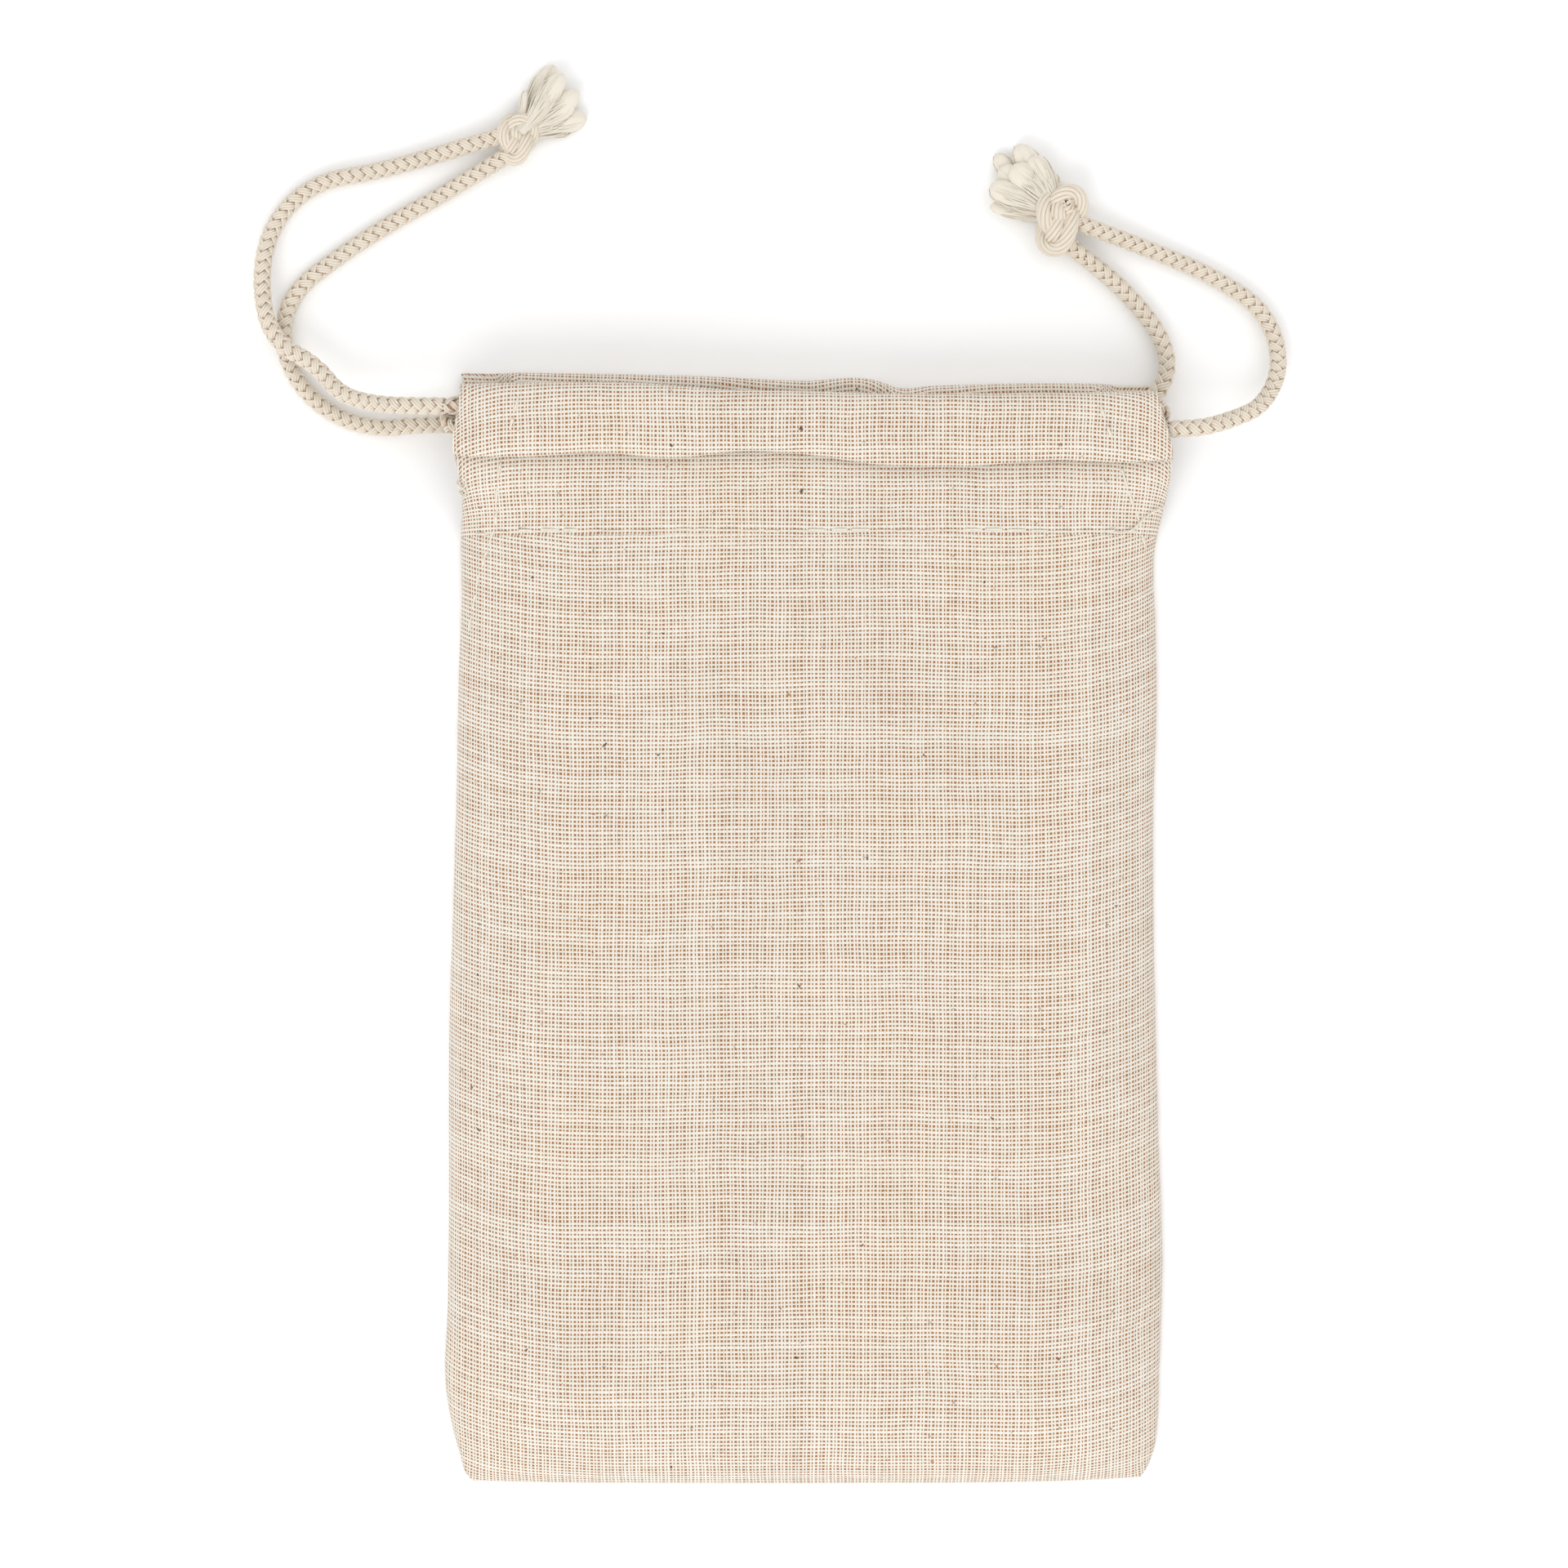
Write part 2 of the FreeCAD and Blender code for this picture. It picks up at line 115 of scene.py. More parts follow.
# ---- drawcords: steps from the place where a strand leaves its casing, and the height of its underside ----
ROUTES = {
    "left_front": [(-4.2, 0.0), (-9.6, 0.4, 7.0), (-15.0, 2.0, 4.6), (-18.4, 6.4, 3.3), (-24.8, 9.8, 3.1),
                   (-26.6, 18.7, 1.6), (-24.8, 26.9, 0.4), (-18.9, 32.5, 0.05), (-10.2, 33.9, 0.0),
                   (-1.8, 36.2, 0.2), (8.8, 39.2, 1.5)],
    "left_back": [(-4.6, 0.0), (-9.4, -0.6, 0.2), (-15.2, 0.7, 0.0), (-20.8, 4.9, 0.0), (-23.8, 11.5, 0.0),
                  (-22.4, 18.5, 0.0), (-15.8, 23.7, 0.0), (-7.6, 28.9, 0.0), (0.2, 33.1, 0.1), (9.4, 38.6, 1.2)],
    "right_front": [(4.2, 0.0), (9.2, 1.5, 7.0), (14.0, 3.7, 3.8), (16.9, 9.7, 1.2), (14.8, 17.3, 0.1),
                    (8.0, 22.0, 0.0), (-0.8, 25.8, 0.0), (-13.4, 30.2, 1.9)],
    "right_back": [(2.6, 0.0), (4.6, 2.5, 0.95), (5.3, 5.9, 0.7), (3.8, 10.2, 0.3), (-0.1, 15.0, 0.0),
                   (-4.6, 19.1, 0.0), (-9.9, 22.8, 1.3)],
}
RIGHT_BACK_INSET = 4.4      # the right cord's back strand turns up inside the end of its casing
BRAID_SWING = 0.2           # how far a yarn moves in and out as it passes under and over
YARN_SIDES = 6
KNOT_ROPE_YARNS, KNOT_ROPE_LAY = 9, 14.0

# Tips of each frayed clump, in steps from the middle of its knot, with the clump's width.
CLUMPS = {
    "left": [(10.4, 3.9, 3.4), (9.2, 7.6, 3.2), (7.4, 9.6, 3.0), (5.4, 11.6, 3.2), (8.6, 5.6, 2.4),
             (1.8, 7.2, 1.0)],
    "right": [(-9.7, 10.2, 2.8), (-6.3, 11.6, 3.6), (-3.6, 10.0, 3.4), (-1.6, 8.2, 2.6), (-9.0, 8.0, 3.8),
              (-10.2, 5.6, 3.6), (-8.6, 4.0, 3.6), (-10.4, 2.2, 2.2), (-6.6, 8.6, 4.2), (-5.4, 6.2, 4.0)],
}
# Sewn rows that hold the turned edge of each side slit, as distance from the middle and place up the sack.
SLIT_ROWS = {
    "left": [(39.8, 74.3), (40.3, 71.8), (41.2, 68.8), (42.2, 65.9), (42.8, 63.5), (43.1, 60.5), (43.2, 57.4),
             (43.7, 55.3), (44.6, 52.7), (45.8, 49.3), (46.5, 45.3), (47.1, 42.3), (47.4, 39.7)],
    "right": [(40.8, 73.2), (41.4, 70.7), (42.3, 68.4), (43.7, 65.4), (44.5, 62.7), (45.5, 60.0), (46.5, 57.7),
              (47.2, 55.2), (47.8, 52.4)],
}


def linear(code):
    """Linear colour from an sRGB hex code."""
    values = [int(code[i:i + 2], 16) / 255 for i in (0, 2, 4)]
    return tuple(v / 12.92 if v <= 0.04045 else ((v + 0.055) / 1.055) ** 2.4 for v in values)


def length_property(name, description, default):
    """Property that holds a length, in metres."""
    return bpy.props.FloatProperty(name=name, description=description, default=default, unit="LENGTH")


def colour_property(name, description, code):
    """Property that holds a colour, from its sRGB hex code."""
    return bpy.props.FloatVectorProperty(name=name, description=description, default=linear(code), size=3,
                                         subtype="COLOR")


class SackSizes(bpy.types.PropertyGroup):
    """Sizes that a user would change."""
    camera_height: length_property("Camera height", "Camera over the table", 0.617)
    view_width: length_property("View width", "Width of table that the camera takes in", 0.222)
    grid_step: length_property("Cloth grid", "Spacing of the cloth's points", 0.0007)
    warp_pitch: length_property("Warp pitch", "Spacing of the threads that run up the sack", 0.00051)
    weft_pitch: length_property("Weft pitch", "Spacing of the threads that run across the sack", 0.0006)
    ripple: length_property("Ripple", "Height of the soft ripples near the mouth", 0.00016)
    cord_diameter: length_property("Cord diameter", "Across the braid", 0.0025)
    cord_lay: length_property("Cord lay", "Length in which a yarn goes once round the cord", 0.0064)
    ply_radius: length_property("Ply radius", "Radius of one ply of the braid", 0.00021)
    stitch_pitch: length_property("Stitch pitch", "Length of one stitch with its gap", 0.0031)
    stitch_length: length_property("Stitch length", "Thread seen in one stitch", 0.0023)
    thread_radius: length_property("Thread radius", "Radius of the sewing thread", 0.00016)
    seed: bpy.props.IntProperty(name="Seed", description="Chooses the chance details", default=7)


class SackColours(bpy.types.PropertyGroup):
    """Colours that a user would change."""
    # Painted shade seen in the gaps between the cloth's threads; the threads darken towards it at their edges.
    cloth_gap_shade: colour_property("Cloth gaps", "Between the threads", "9c683f")
    cloth_thread: colour_property("Cloth threads", "Threads of the cloth", "e2dfd5")
    # Painted shade in the grooves between the cord's yarns.
    cord_groove_shade: colour_property("Cord grooves", "Between the cord's yarns", "bf9e84")
    cord_yarn: colour_property("Cord yarn", "Yarns of the cord", "dbd1c1")
    frayed_yarn: colour_property("Frayed yarn", "Loose ends of the cord", "e1dacc")
    sewing_thread: colour_property("Sewing thread", "Stitches", "e6dfd0")
    floor: colour_property("Table", "Table that the sack lies on", "fbfbfb")


# ---- small helpers ----

def ease(value):
    """Smooth step from 0 to 1."""
    value = np.clip(value, 0, 1)
    return value * value * (3 - 2 * value)


def along(steps, at):
    """Smooth curve through (place, value) points."""
    places, values = np.array(steps, float).T
    slopes = np.gradient(values, places)
    at = np.clip(at, places[0], places[-1])
    i = np.clip(np.searchsorted(places, at) - 1, 0, len(places) - 2)
    gap = places[i + 1] - places[i]
    t = (at - places[i]) / gap
    return (values[i] * (1 + 2 * t) * (1 - t) ** 2 + slopes[i] * gap * t * (1 - t) ** 2
            + values[i + 1] * t * t * (3 - 2 * t) + slopes[i + 1] * gap * t * t * (t - 1))


def add(tree, kind, inputs=(), stops=(), **settings):
    """Add a node with its settings, inputs that are values or other nodes' outputs, and any colour stops.

    A kind in capitals is a Math node's operation. Gives the node's outputs.
    """
    if kind.isupper():
        kind, settings["operation"] = "Math", kind
    node = tree.nodes.new(kind if "Node" in kind else "ShaderNode" + kind)
    for name, value in settings.items():
        setattr(node, name, value)
    if stops:
        elements = node.color_ramp.elements
        while len(elements) < len(stops):
            elements.new(0.5)
        for element, (place, colour) in zip(elements, stops):
            element.position = place
            element.color = (*colour, 1)
    for key, value in inputs.items() if isinstance(inputs, dict) else enumerate(inputs):
        if isinstance(value, bpy.types.NodeSocket):
            tree.links.new(value, node.inputs[key])
        else:
            node.inputs[key].default_value = value
    return node.outputs


# ---- materials ----

def start_material(name):
    """Empty node material."""
    material = bpy.data.materials.new(name)
    material.use_nodes = True
    material.node_tree.nodes.clear()
    return material, material.node_tree


def end_material(tree, colour, height, depth, roughness, sheen):
    """Principled surface of spun cotton, with its relief."""
    bump = add(tree, "Bump", {"Strength": 0.6, "Distance": depth, "Height": height})[0]
    shader = add(tree, "BsdfPrincipled", {"Base Color": colour, "Roughness": roughness, "IOR": 1.53,
                                          "Sheen Weight": sheen, "Sheen Roughness": 0.6, "Normal": bump})[0]
    add(tree, "OutputMaterial", [shader])


def shade(colour, factor):
    """A colour made lighter or darker."""
    return tuple(min(1.0, c * factor) for c in colour)


def mixed(first, second, share):
    """A colour between two others."""
    return tuple(a + (b - a) * share for a, b in zip(first, second))


def woven_cotton(sizes, colours):
    """Unbleached cotton muslin, plain weave: matt, with pale uneven threads, open gaps painted in shade, thread
    edges painted darker and crowns painted a little lighter, and flecks of seed husk.
    """
    material, tree = start_material("cotton_muslin_plain_weave")
    thread, gap = colours.cloth_thread, colours.cloth_gap_shade
    white = (1.0, 1.0, 1.0)
    place = add(tree, "UVMap", uv_map="cloth")[0]
    parts = add(tree, "SeparateXYZ", [place])
    drift = add(tree, "TexNoise", {"Vector": place, "Scale": 0.07, "Detail": 2.0}, noise_dimensions="2D")[1]
    drifts = add(tree, "SeparateColor", [drift])
    cells, steps, profiles, tones = [], [], [], []
    # The threads lie in loose pairs, those of the warp more so.
    for axis, pitch, pairing in ((0, sizes.warp_pitch / MM, 0.10), (1, sizes.weft_pitch / MM, 0.03)):
        wander = add(tree, "MULTIPLY_ADD", [drifts[axis], 0.6, -0.3])[0]
        count = add(tree, "ADD", [parts[axis], wander])[0]
        count = add(tree, "MULTIPLY", [count, 1 / pitch])[0]
        pair = add(tree, "MULTIPLY", [count, math.pi])[0]
        pair = add(tree, "SINE", [pair])[0]
        count = add(tree, "MULTIPLY_ADD", [pair, pairing, count])[0]
        cell = add(tree, "FLOOR", [count])[0]
        step = add(tree, "FRACT", [count])[0]
        step = add(tree, "SUBTRACT", [step, 0.5])[0]
        number = add(tree, "ADD", [cell, 91.7 * axis])[0]
        chance = add(tree, "TexWhiteNoise", {"W": number}, noise_dimensions="1D")[0]
        run = add(tree, "CombineXYZ", [add(tree, "MULTIPLY_ADD", [cell, 3.7, 0.43])[0],
                                       add(tree, "MULTIPLY", [parts[1 - axis], 0.3])[0]])[0]
        slub = add(tree, "TexNoise", {"Vector": run, "Scale": 1.0, "Detail": 2.0}, noise_dimensions="2D")[0]
        # A thread covers about half its pitch, and more where it is slubbed.
        half = add(tree, "MULTIPLY_ADD", [chance, 0.10, 0.165])[0]
        half = add(tree, "MULTIPLY_ADD", [slub, 0.20, half])[0]
        ratio = add(tree, "DIVIDE", [step, half])[0]
        square = add(tree, "MULTIPLY", [ratio, ratio])[0]
        tone = add(tree, "MULTIPLY", [slub, 0.5])[0]
        cells.append(cell)
        steps.append(step)
        profiles.append(add(tree, "SUBTRACT", [1.0, square], use_clamp=True)[0])
        tones.append(add(tree, "MULTIPLY_ADD", [chance, 0.5, tone])[0])
    # The upper thread changes over from one crossing to the next.
    parity = add(tree, "ADD", cells)[0]
    parity = add(tree, "FLOORED_MODULO", [parity, 2.0])[0]
    sign = add(tree, "MULTIPLY_ADD", [parity, 2.0, -1.0])[0]
    heights = []
    for index, way in ((0, 1.0), (1, -1.0)):
        wave = add(tree, "MULTIPLY", [steps[1 - index], math.pi])[0]
        wave = add(tree, "COSINE", [wave])[0]
        wave = add(tree, "MULTIPLY", [wave, sign])[0]
        wave = add(tree, "MULTIPLY", [wave, way])[0]
        wave = add(tree, "MULTIPLY_ADD", [wave, 0.22, 0.78])[0]
        heights.append(add(tree, "MULTIPLY", [profiles[index], wave])[0])
    height = add(tree, "MAXIMUM", heights)[0]
    upper = add(tree, "GREATER_THAN", heights)[0]
    tone = add(tree, "Mix", {"Factor": upper, "A": tones[1], "B": tones[0]})[0]
    # Painted shade: the lower the weave's height, the darker the colour, from the gap colour in the holes through
    # dark thread edges; the crowns of the threads get a slight painted highlight.
    base = add(tree, "ValToRGB", [height], [(0.0, gap), (0.14, mixed(gap, thread, 0.3)),
                                            (0.42, mixed(gap, thread, 0.9)), (0.85, shade(thread, 1.03))])[0]
    tint = add(tree, "ValToRGB", [tone], [(0.2, linear("faf7f2")), (0.8, white)])[0]
    # Patches a few centimetres across are a little warmer or greyer.
    patch = add(tree, "TexNoise", {"Vector": place, "Scale": 0.05, "Detail": 3.0}, noise_dimensions="2D")[0]
    warmth = add(tree, "ValToRGB", [patch], [(0.3, linear("fffdfa")), (0.5, white), (0.72, linear("fcfbfa"))])[0]
    for layer in (tint, warmth):
        base = add(tree, "Mix", {"Factor": 1.0, 6: base, 7: layer}, data_type="RGBA", blend_type="MULTIPLY")[2]
    # Husk flecks, from a tenth to half a millimetre, one in each centimetre or so.
    torn = add(tree, "TexNoise", {"Vector": place, "Scale": 1.7, "Detail": 1.0}, noise_dimensions="2D")[1]
    spot_place = add(tree, "VectorMath", [torn, (0.9, 0.5, 0.0), place], operation="MULTIPLY_ADD")[0]
    for scale, largest, strength in ((0.11, 0.034, 0.9), (0.33, 0.062, 0.5)):
        spots = add(tree, "TexVoronoi", {"Vector": spot_place, "Scale": scale}, voronoi_dimensions="2D")
        chances = add(tree, "SeparateColor", [spots[1]])
        size = add(tree, "MULTIPLY", [chances[0], chances[0]])[0]
        size = add(tree, "MULTIPLY", [size, largest])[0]
        fleck = add(tree, "SUBTRACT", [size, spots[0]])[0]
        fleck = add(tree, "MULTIPLY", [fleck, 90.0], use_clamp=True)[0]
        fleck = add(tree, "MULTIPLY", [fleck, strength])[0]
        husk = add(tree, "ValToRGB", [chances[2]], [(0.0, linear("2c211b")), (0.6, linear("5a4030")),
                                                    (0.86, linear("b8743c"))])[0]
        base = add(tree, "Mix", {"Factor": fleck, 6: base, 7: husk}, data_type="RGBA")[2]
    end_material(tree, base, height, 0.00012, 0.92, 0.1)
    return material


def spun_yarn(name, groove_shade, light, depth, husks):
    """Loosely spun cotton yarn: matt, with fine fibres that run along it and painted shade in its grooves."""
    material, tree = start_material(name)
    place = add(tree, "UVMap", uv_map="yarn")[0]
    lift = add(tree, "Attribute", attribute_name="lift")[2]
    stretched = add(tree, "Mapping", {"Vector": place, "Scale": (0.9, 9.0, 1.0)})[0]
    fibres = add(tree, "TexNoise", {"Vector": stretched, "Scale": 1.0, "Detail": 4.0}, noise_dimensions="2D")[0]
    # Painted shade: the lower a point lies in the cord's grooves, the darker its colour, and the highest yarn tops
    # get a slight painted highlight; the fibre noise adds streaks.
    value = add(tree, "SUBTRACT", [lift, 0.2])[0]
    value = add(tree, "MULTIPLY_ADD", [fibres, 0.4, value])[0]
    base = add(tree, "ValToRGB", [value], [(0.15, groove_shade), (0.45, mixed(groove_shade, light, 0.5)), (0.72, light),
                                           (1.0, shade(light, 1.06))])[0]
    spots = add(tree, "TexVoronoi", {"Vector": place, "Scale": 0.12}, voronoi_dimensions="2D")
    fleck = add(tree, "LESS_THAN", [spots[0], husks])[0]
    fleck = add(tree, "MULTIPLY", [fleck, 0.7])[0]
    base = add(tree, "Mix", {"Factor": fleck, 6: base, 7: (*linear("4a3528"), 1)}, data_type="RGBA")[2]
    end_material(tree, base, fibres, depth, 0.9, 0.12)
    return material


def sewing_cotton(colours):
    """Mercerised cotton sewing thread: smoother and a little brighter than the cloth, with a fine twist."""
    material, tree = start_material("cotton_sewing_thread")
    place = add(tree, "TexCoord")[3]
    twist = add(tree, "TexNoise", {"Vector": place, "Scale": 2600.0, "Detail": 2.0})[0]
    light = colours.sewing_thread
    base = add(tree, "ValToRGB", [twist], [(0.3, shade(light, 0.86)), (0.7, light)])[0]
    end_material(tree, base, twist, 0.00008, 0.7, 0.05)
    return material


def made_material(name, maker, *arguments):
    """The named material, made when it is first asked for."""
    return bpy.data.materials.get(name) or maker(*arguments)


def cloth_material(scene):
    return made_material("cotton_muslin_plain_weave", woven_cotton, scene.sack_sizes, scene.sack_colours)


def braid_material(scene):
    colours = scene.sack_colours
    # The cord's yarns are painted in groove shade where they lie low in the braid.
    return made_material("cotton_braid_yarn", spun_yarn, "cotton_braid_yarn", colours.cord_groove_shade,
                         colours.cord_yarn, 0.00006, 0.016)


def frayed_material(scene):
    colours = scene.sack_colours
    # The frayed yarn's painted shade lies part way between the cord's groove shade and the frayed yarn's colour.
    return made_material("cotton_yarn_frayed", spun_yarn, "cotton_yarn_frayed",
                         mixed(colours.cord_groove_shade, colours.frayed_yarn, 0.55), colours.frayed_yarn, 0.00003, 0.0)


def thread_material(scene):
    return made_material("cotton_sewing_thread", sewing_cotton, scene.sack_colours)


# ---- meshes ----

def piece(name, points, faces, material, uv_name=None, uv=None, lift=None):
    """Mesh object from points in millimetres, with its place in its mesh."""
    mesh = bpy.data.meshes.new(name)
    mesh.from_pydata((np.asarray(points) * MM).tolist(), [], faces)
    mesh.polygons.foreach_set("use_smooth", np.ones(len(mesh.polygons), bool))
    if uv is not None:
        corner = np.empty(len(mesh.loops), int)
        mesh.loops.foreach_get("vertex_index", corner)
        layer = mesh.uv_layers.new(name=uv_name)
        layer.data.foreach_set("uv", np.asarray(uv, float)[corner].ravel())
    if lift is not None:
        field = mesh.attributes.new("lift", "FLOAT", "POINT")
        field.data.foreach_set("value", np.asarray(lift, float))
    mesh.materials.append(material)
    mesh.update()
    result = bpy.data.objects.new(name, mesh)
    bpy.context.scene.collection.objects.link(result)
    return result


def gather(result):
    """Bake a piece's place into its mesh."""
    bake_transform(result)


def normals_of(grid):
    """Normals of a grid of points whose columns run to +X."""
    normal = np.cross(np.gradient(grid, axis=1), np.gradient(grid, axis=0))
    return normal / np.linalg.norm(normal, axis=2, keepdims=True)


def run_lengths(points):
    """Length along a line of points, from its start."""
    return np.concatenate([[0.0], np.cumsum(np.linalg.norm(np.diff(points, axis=0), axis=1))])


def cloth_places(grid, side, up_start):
    """Each grid point's place on the flat cloth, from the sack's middle and up from the bottom fold."""
    across = np.cumsum(np.linalg.norm(np.diff(grid, axis=1, prepend=grid[:, :1]), axis=2), axis=1)
    across = across - across[:, -1:] if side == "left" else across
    up = up_start + np.cumsum(np.linalg.norm(np.diff(grid, axis=0, prepend=grid[:1]), axis=2), axis=0)
    return np.stack([across, up], axis=2)


def sheet_piece(name, grid, places, scene, nodes, outward=1, thick=CLOTH):
    """Closed sheet of cloth round a grid of points, with its place on the flat cloth as its UVs; it hides the nodes
    that it stands for.
    """
    normal = normals_of(grid) * outward
    # Where sheets meet in the middle and along the hem's stitches, they share the same edge.
    normal[np.abs(grid[..., 0]) < 1e-6, 0] = 0.0
    normal[np.abs(grid[..., 1] - STITCH_Y) < 1e-6, 1] = 0.0
    normal /= np.linalg.norm(normal, axis=2, keepdims=True)
    outer, inner = grid + normal * thick / 2, grid - normal * thick / 2
    rows, columns = grid.shape[:2]
    count = rows * columns
    index = np.arange(count).reshape(rows, columns)
    quads = np.stack([index[:-1, :-1], index[:-1, 1:], index[1:, 1:], index[1:, :-1]], axis=2).reshape(-1, 4)
    ring = np.concatenate([index[0, :-1], index[:-1, -1], index[-1, :0:-1], index[:0:-1, 0]])
    following = np.roll(ring, -1)
    rim = np.stack([ring, ring + count, following + count, following], axis=1)
    faces = np.concatenate([quads, quads[:, ::-1] + count, rim])
    faces = faces[:, ::-1] if outward < 0 else faces
    flat = places.reshape(-1, 2)
    result = piece(name, np.concatenate([outer.reshape(-1, 3), inner.reshape(-1, 3)]), faces.tolist(),
                   cloth_material(scene), "cloth", np.concatenate([flat, flat]))
    # The cut edges are sharp, so that they do not shade the face of the sheet.
    cut = np.zeros(2 * count, bool)
    cut[ring] = cut[ring + count] = True
    ends = np.empty(2 * len(result.data.edges), np.int32)
    result.data.edges.foreach_get("vertices", ends)
    result.data.edges.foreach_set("use_edge_sharp", cut[ends.reshape(-1, 2)].all(axis=1))
    gather(result)
    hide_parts(*nodes)
    return result


# ---- shape of the sack ----

def edge_distances(step):
    """Distances in from the edge, close together on the rounded side, up to the middle of the sack."""
    turn = np.linspace(0, math.pi / 2, ROUNDED_ROWS)
    rounded = SIDE_ROLL * (1 - np.cos(turn))
    flat = np.linspace(SIDE_ROLL, HALF_WIDTH, max(3, int((HALF_WIDTH - SIDE_ROLL) / step)))[1:]
    return np.concatenate([rounded, flat])


def shares(side, distances):
    """Shares of the half width, from the middle to the edge, ordered so that x rises."""
    share = 1 - distances / HALF_WIDTH
    return np.sort(share) if side == "right" else np.sort(share)[::-1]


def place_across(side, share, y):
    """Place across the sack of a share of its half width."""
    return SIDES[side] * share * (HALF_WIDTH + along(EDGE_STEPS[side], y))


def rounding(distance, width):
    """Quarter ellipse that rises from 0 at an edge to 1 at a distance in from it."""
    return np.sqrt(1 - (1 - np.clip(distance, 0, width) / width) ** 2)


def undulation(x, y, ripple):
    """Soft unevenness of cloth that lies loosely, with ripples that grow towards the mouth."""
    slow = (0.26 * np.sin(0.11 * x + 0.05 * y + 1.1) + 0.18 * np.sin(0.05 * x - 0.13 * y + 2.3)
            + 0.10 * np.sin(0.23 * x + 0.17 * y + 0.4))
    fine = np.sin(2 * math.pi * x / 6.4 + 0.8 * np.sin(0.09 * y + 0.13 * x)) * ease((y - 25) / 35)
    return slow + ripple * fine


def stitch_pucker(x, y, pitch):
    """Dip of the cloth along the hem's stitches, deepest where the thread goes through."""
    across_row = np.exp(-((y - (STITCH_Y + ROW_RISE)) / PUCKER_WIDTH) ** 2)
    return -PUCKER_DEPTH * across_row * (0.7 + 0.3 * np.cos(2 * math.pi * x / pitch))


def front_panel_point(side, share, rise, sizes):
    """Point of the front at a share of the half width and a distance up from the bottom fold."""
    distance = (1 - share) * HALF_WIDTH
    straight_x = SIDES[side] * share * HALF_WIDTH
    y = BOTTOM_Y + rise + along(BOTTOM_STEPS, straight_x) * (1 - ease(rise / BOTTOM_EASE))
    x = place_across(side, share, y)
    lift = rounding(distance, SIDE_ROLL) * rounding(rise, BOTTOM_ROLL)
    top = CROWN_Z - CLOTH / 2 - 0.3
    crease = -CREASE_DEPTH * np.exp(-((distance - CREASE_EDGE) / CREASE_WIDTH) ** 2) * (1 - ease((y + 62) / 16))
    z = EDGE_Z + (top - EDGE_Z) * lift + undulation(x, y, sizes.ripple / MM) * lift ** 2 * 0.8
    z = z + crease * lift + stitch_pucker(x, y, sizes.stitch_pitch / MM) * lift
    return np.stack(np.broadcast_arrays(x, y, z), axis=-1)


def spline_point(controls, at):
    """Point on a smooth curve through control points, at a count of points from its start."""
    last = len(controls) - 1
    i = min(int(at), last - 1)
    t = at - i
    before, start, end, after = (controls[min(max(i + k, 0), last)] for k in (-1, 0, 1, 2))
    return start + 0.5 * t * (end - before + t * (2 * before - 5 * start + 4 * end - after
                                                 + t * (3 * (start - end) + after - before)))


# Front casing: what each step's place up the sack is measured from, the step, its height, and how far it has
# come up from the side seam to the open slit.
FRONT_SECTION = [
    ("stitch", 0.0, CROWN_Z - 0.5, 0.0), ("stitch", 1.6, CROWN_Z - 0.05, 0.12),
    ("stitch", 5.0, CROWN_Z + 0.3, 0.42), ("foot", -2.4, CROWN_Z + 0.2, 0.86),
    ("foot", 0.55, CROWN_Z + 0.2, 0.97), ("foot", 0.85, CROWN_Z + 0.9, 1.0),
    ("foot", -0.25, CROWN_Z + 1.5, 1.0), ("foot", -0.1, CROWN_Z + 2.4, 1.0), ("foot", 1.3, ROLL_TOP_Z - 0.5, 1.0),
    ("foot", 3.9, ROLL_TOP_Z - 0.22, 1.0), ("crest", -2.2, ROLL_TOP_Z - 0.25, 1.0),
    ("crest", -0.6, ROLL_TOP_Z - 0.8, 1.0), ("crest", -0.05, ROLL_TOP_Z - 2.0, 1.0),
    ("crest", -0.15, ROLL_TOP_Z - 3.1, 1.0), ("crest", -0.9, FRONT_HEM_Z + 0.2, 1.0),
    ("crest", -1.8, FRONT_HEM_Z + 0.05, 1.0),
]
# Front hem, from the roll down to the stitches.
FRONT_HEM_SECTION = [("crest", -1.8, FRONT_HEM_Z + 0.05, 1.0), ("stitch", 15.0, FRONT_HEM_Z + 0.05, 1.0),
                     ("stitch", 9.0, FRONT_HEM_Z + 0.05, 0.8), ("stitch", 4.0, FRONT_HEM_Z + 0.1, 0.35),
                     ("stitch", 0.1, FRONT_HEM_Z - 0.1, 0.0)]
# Back casing and back hem, measured from the stitches or from the fold.
BACK_SECTION = [("stitch", 0.0, BACK_LAYER_Z), ("stitch", 7.0, BACK_LAYER_Z), ("stitch", 14.0, BACK_LAYER_Z),
                ("fold", -3.2, BACK_LAYER_Z), ("fold", -1.0, 0.32), ("fold", -0.25, 0.95), ("fold", 0.0, 2.05),
                ("fold", -0.2, 3.2),
                ("fold", -0.9, BACK_HEM_Z - 0.35), ("fold", -2.0, BACK_HEM_Z - 0.2)]
BACK_HEM_SECTION = [("fold", -2.0, BACK_HEM_Z - 0.2), ("stitch", 17.0, BACK_HEM_Z - 0.2),
                    ("stitch", 14.2, BACK_HEM_Z - 0.2), ("stitch", 10.5, 3.2), ("stitch", 5.0, 1.5),
                    ("stitch", 1.2, 0.68), ("stitch", 0.0, 0.62)]


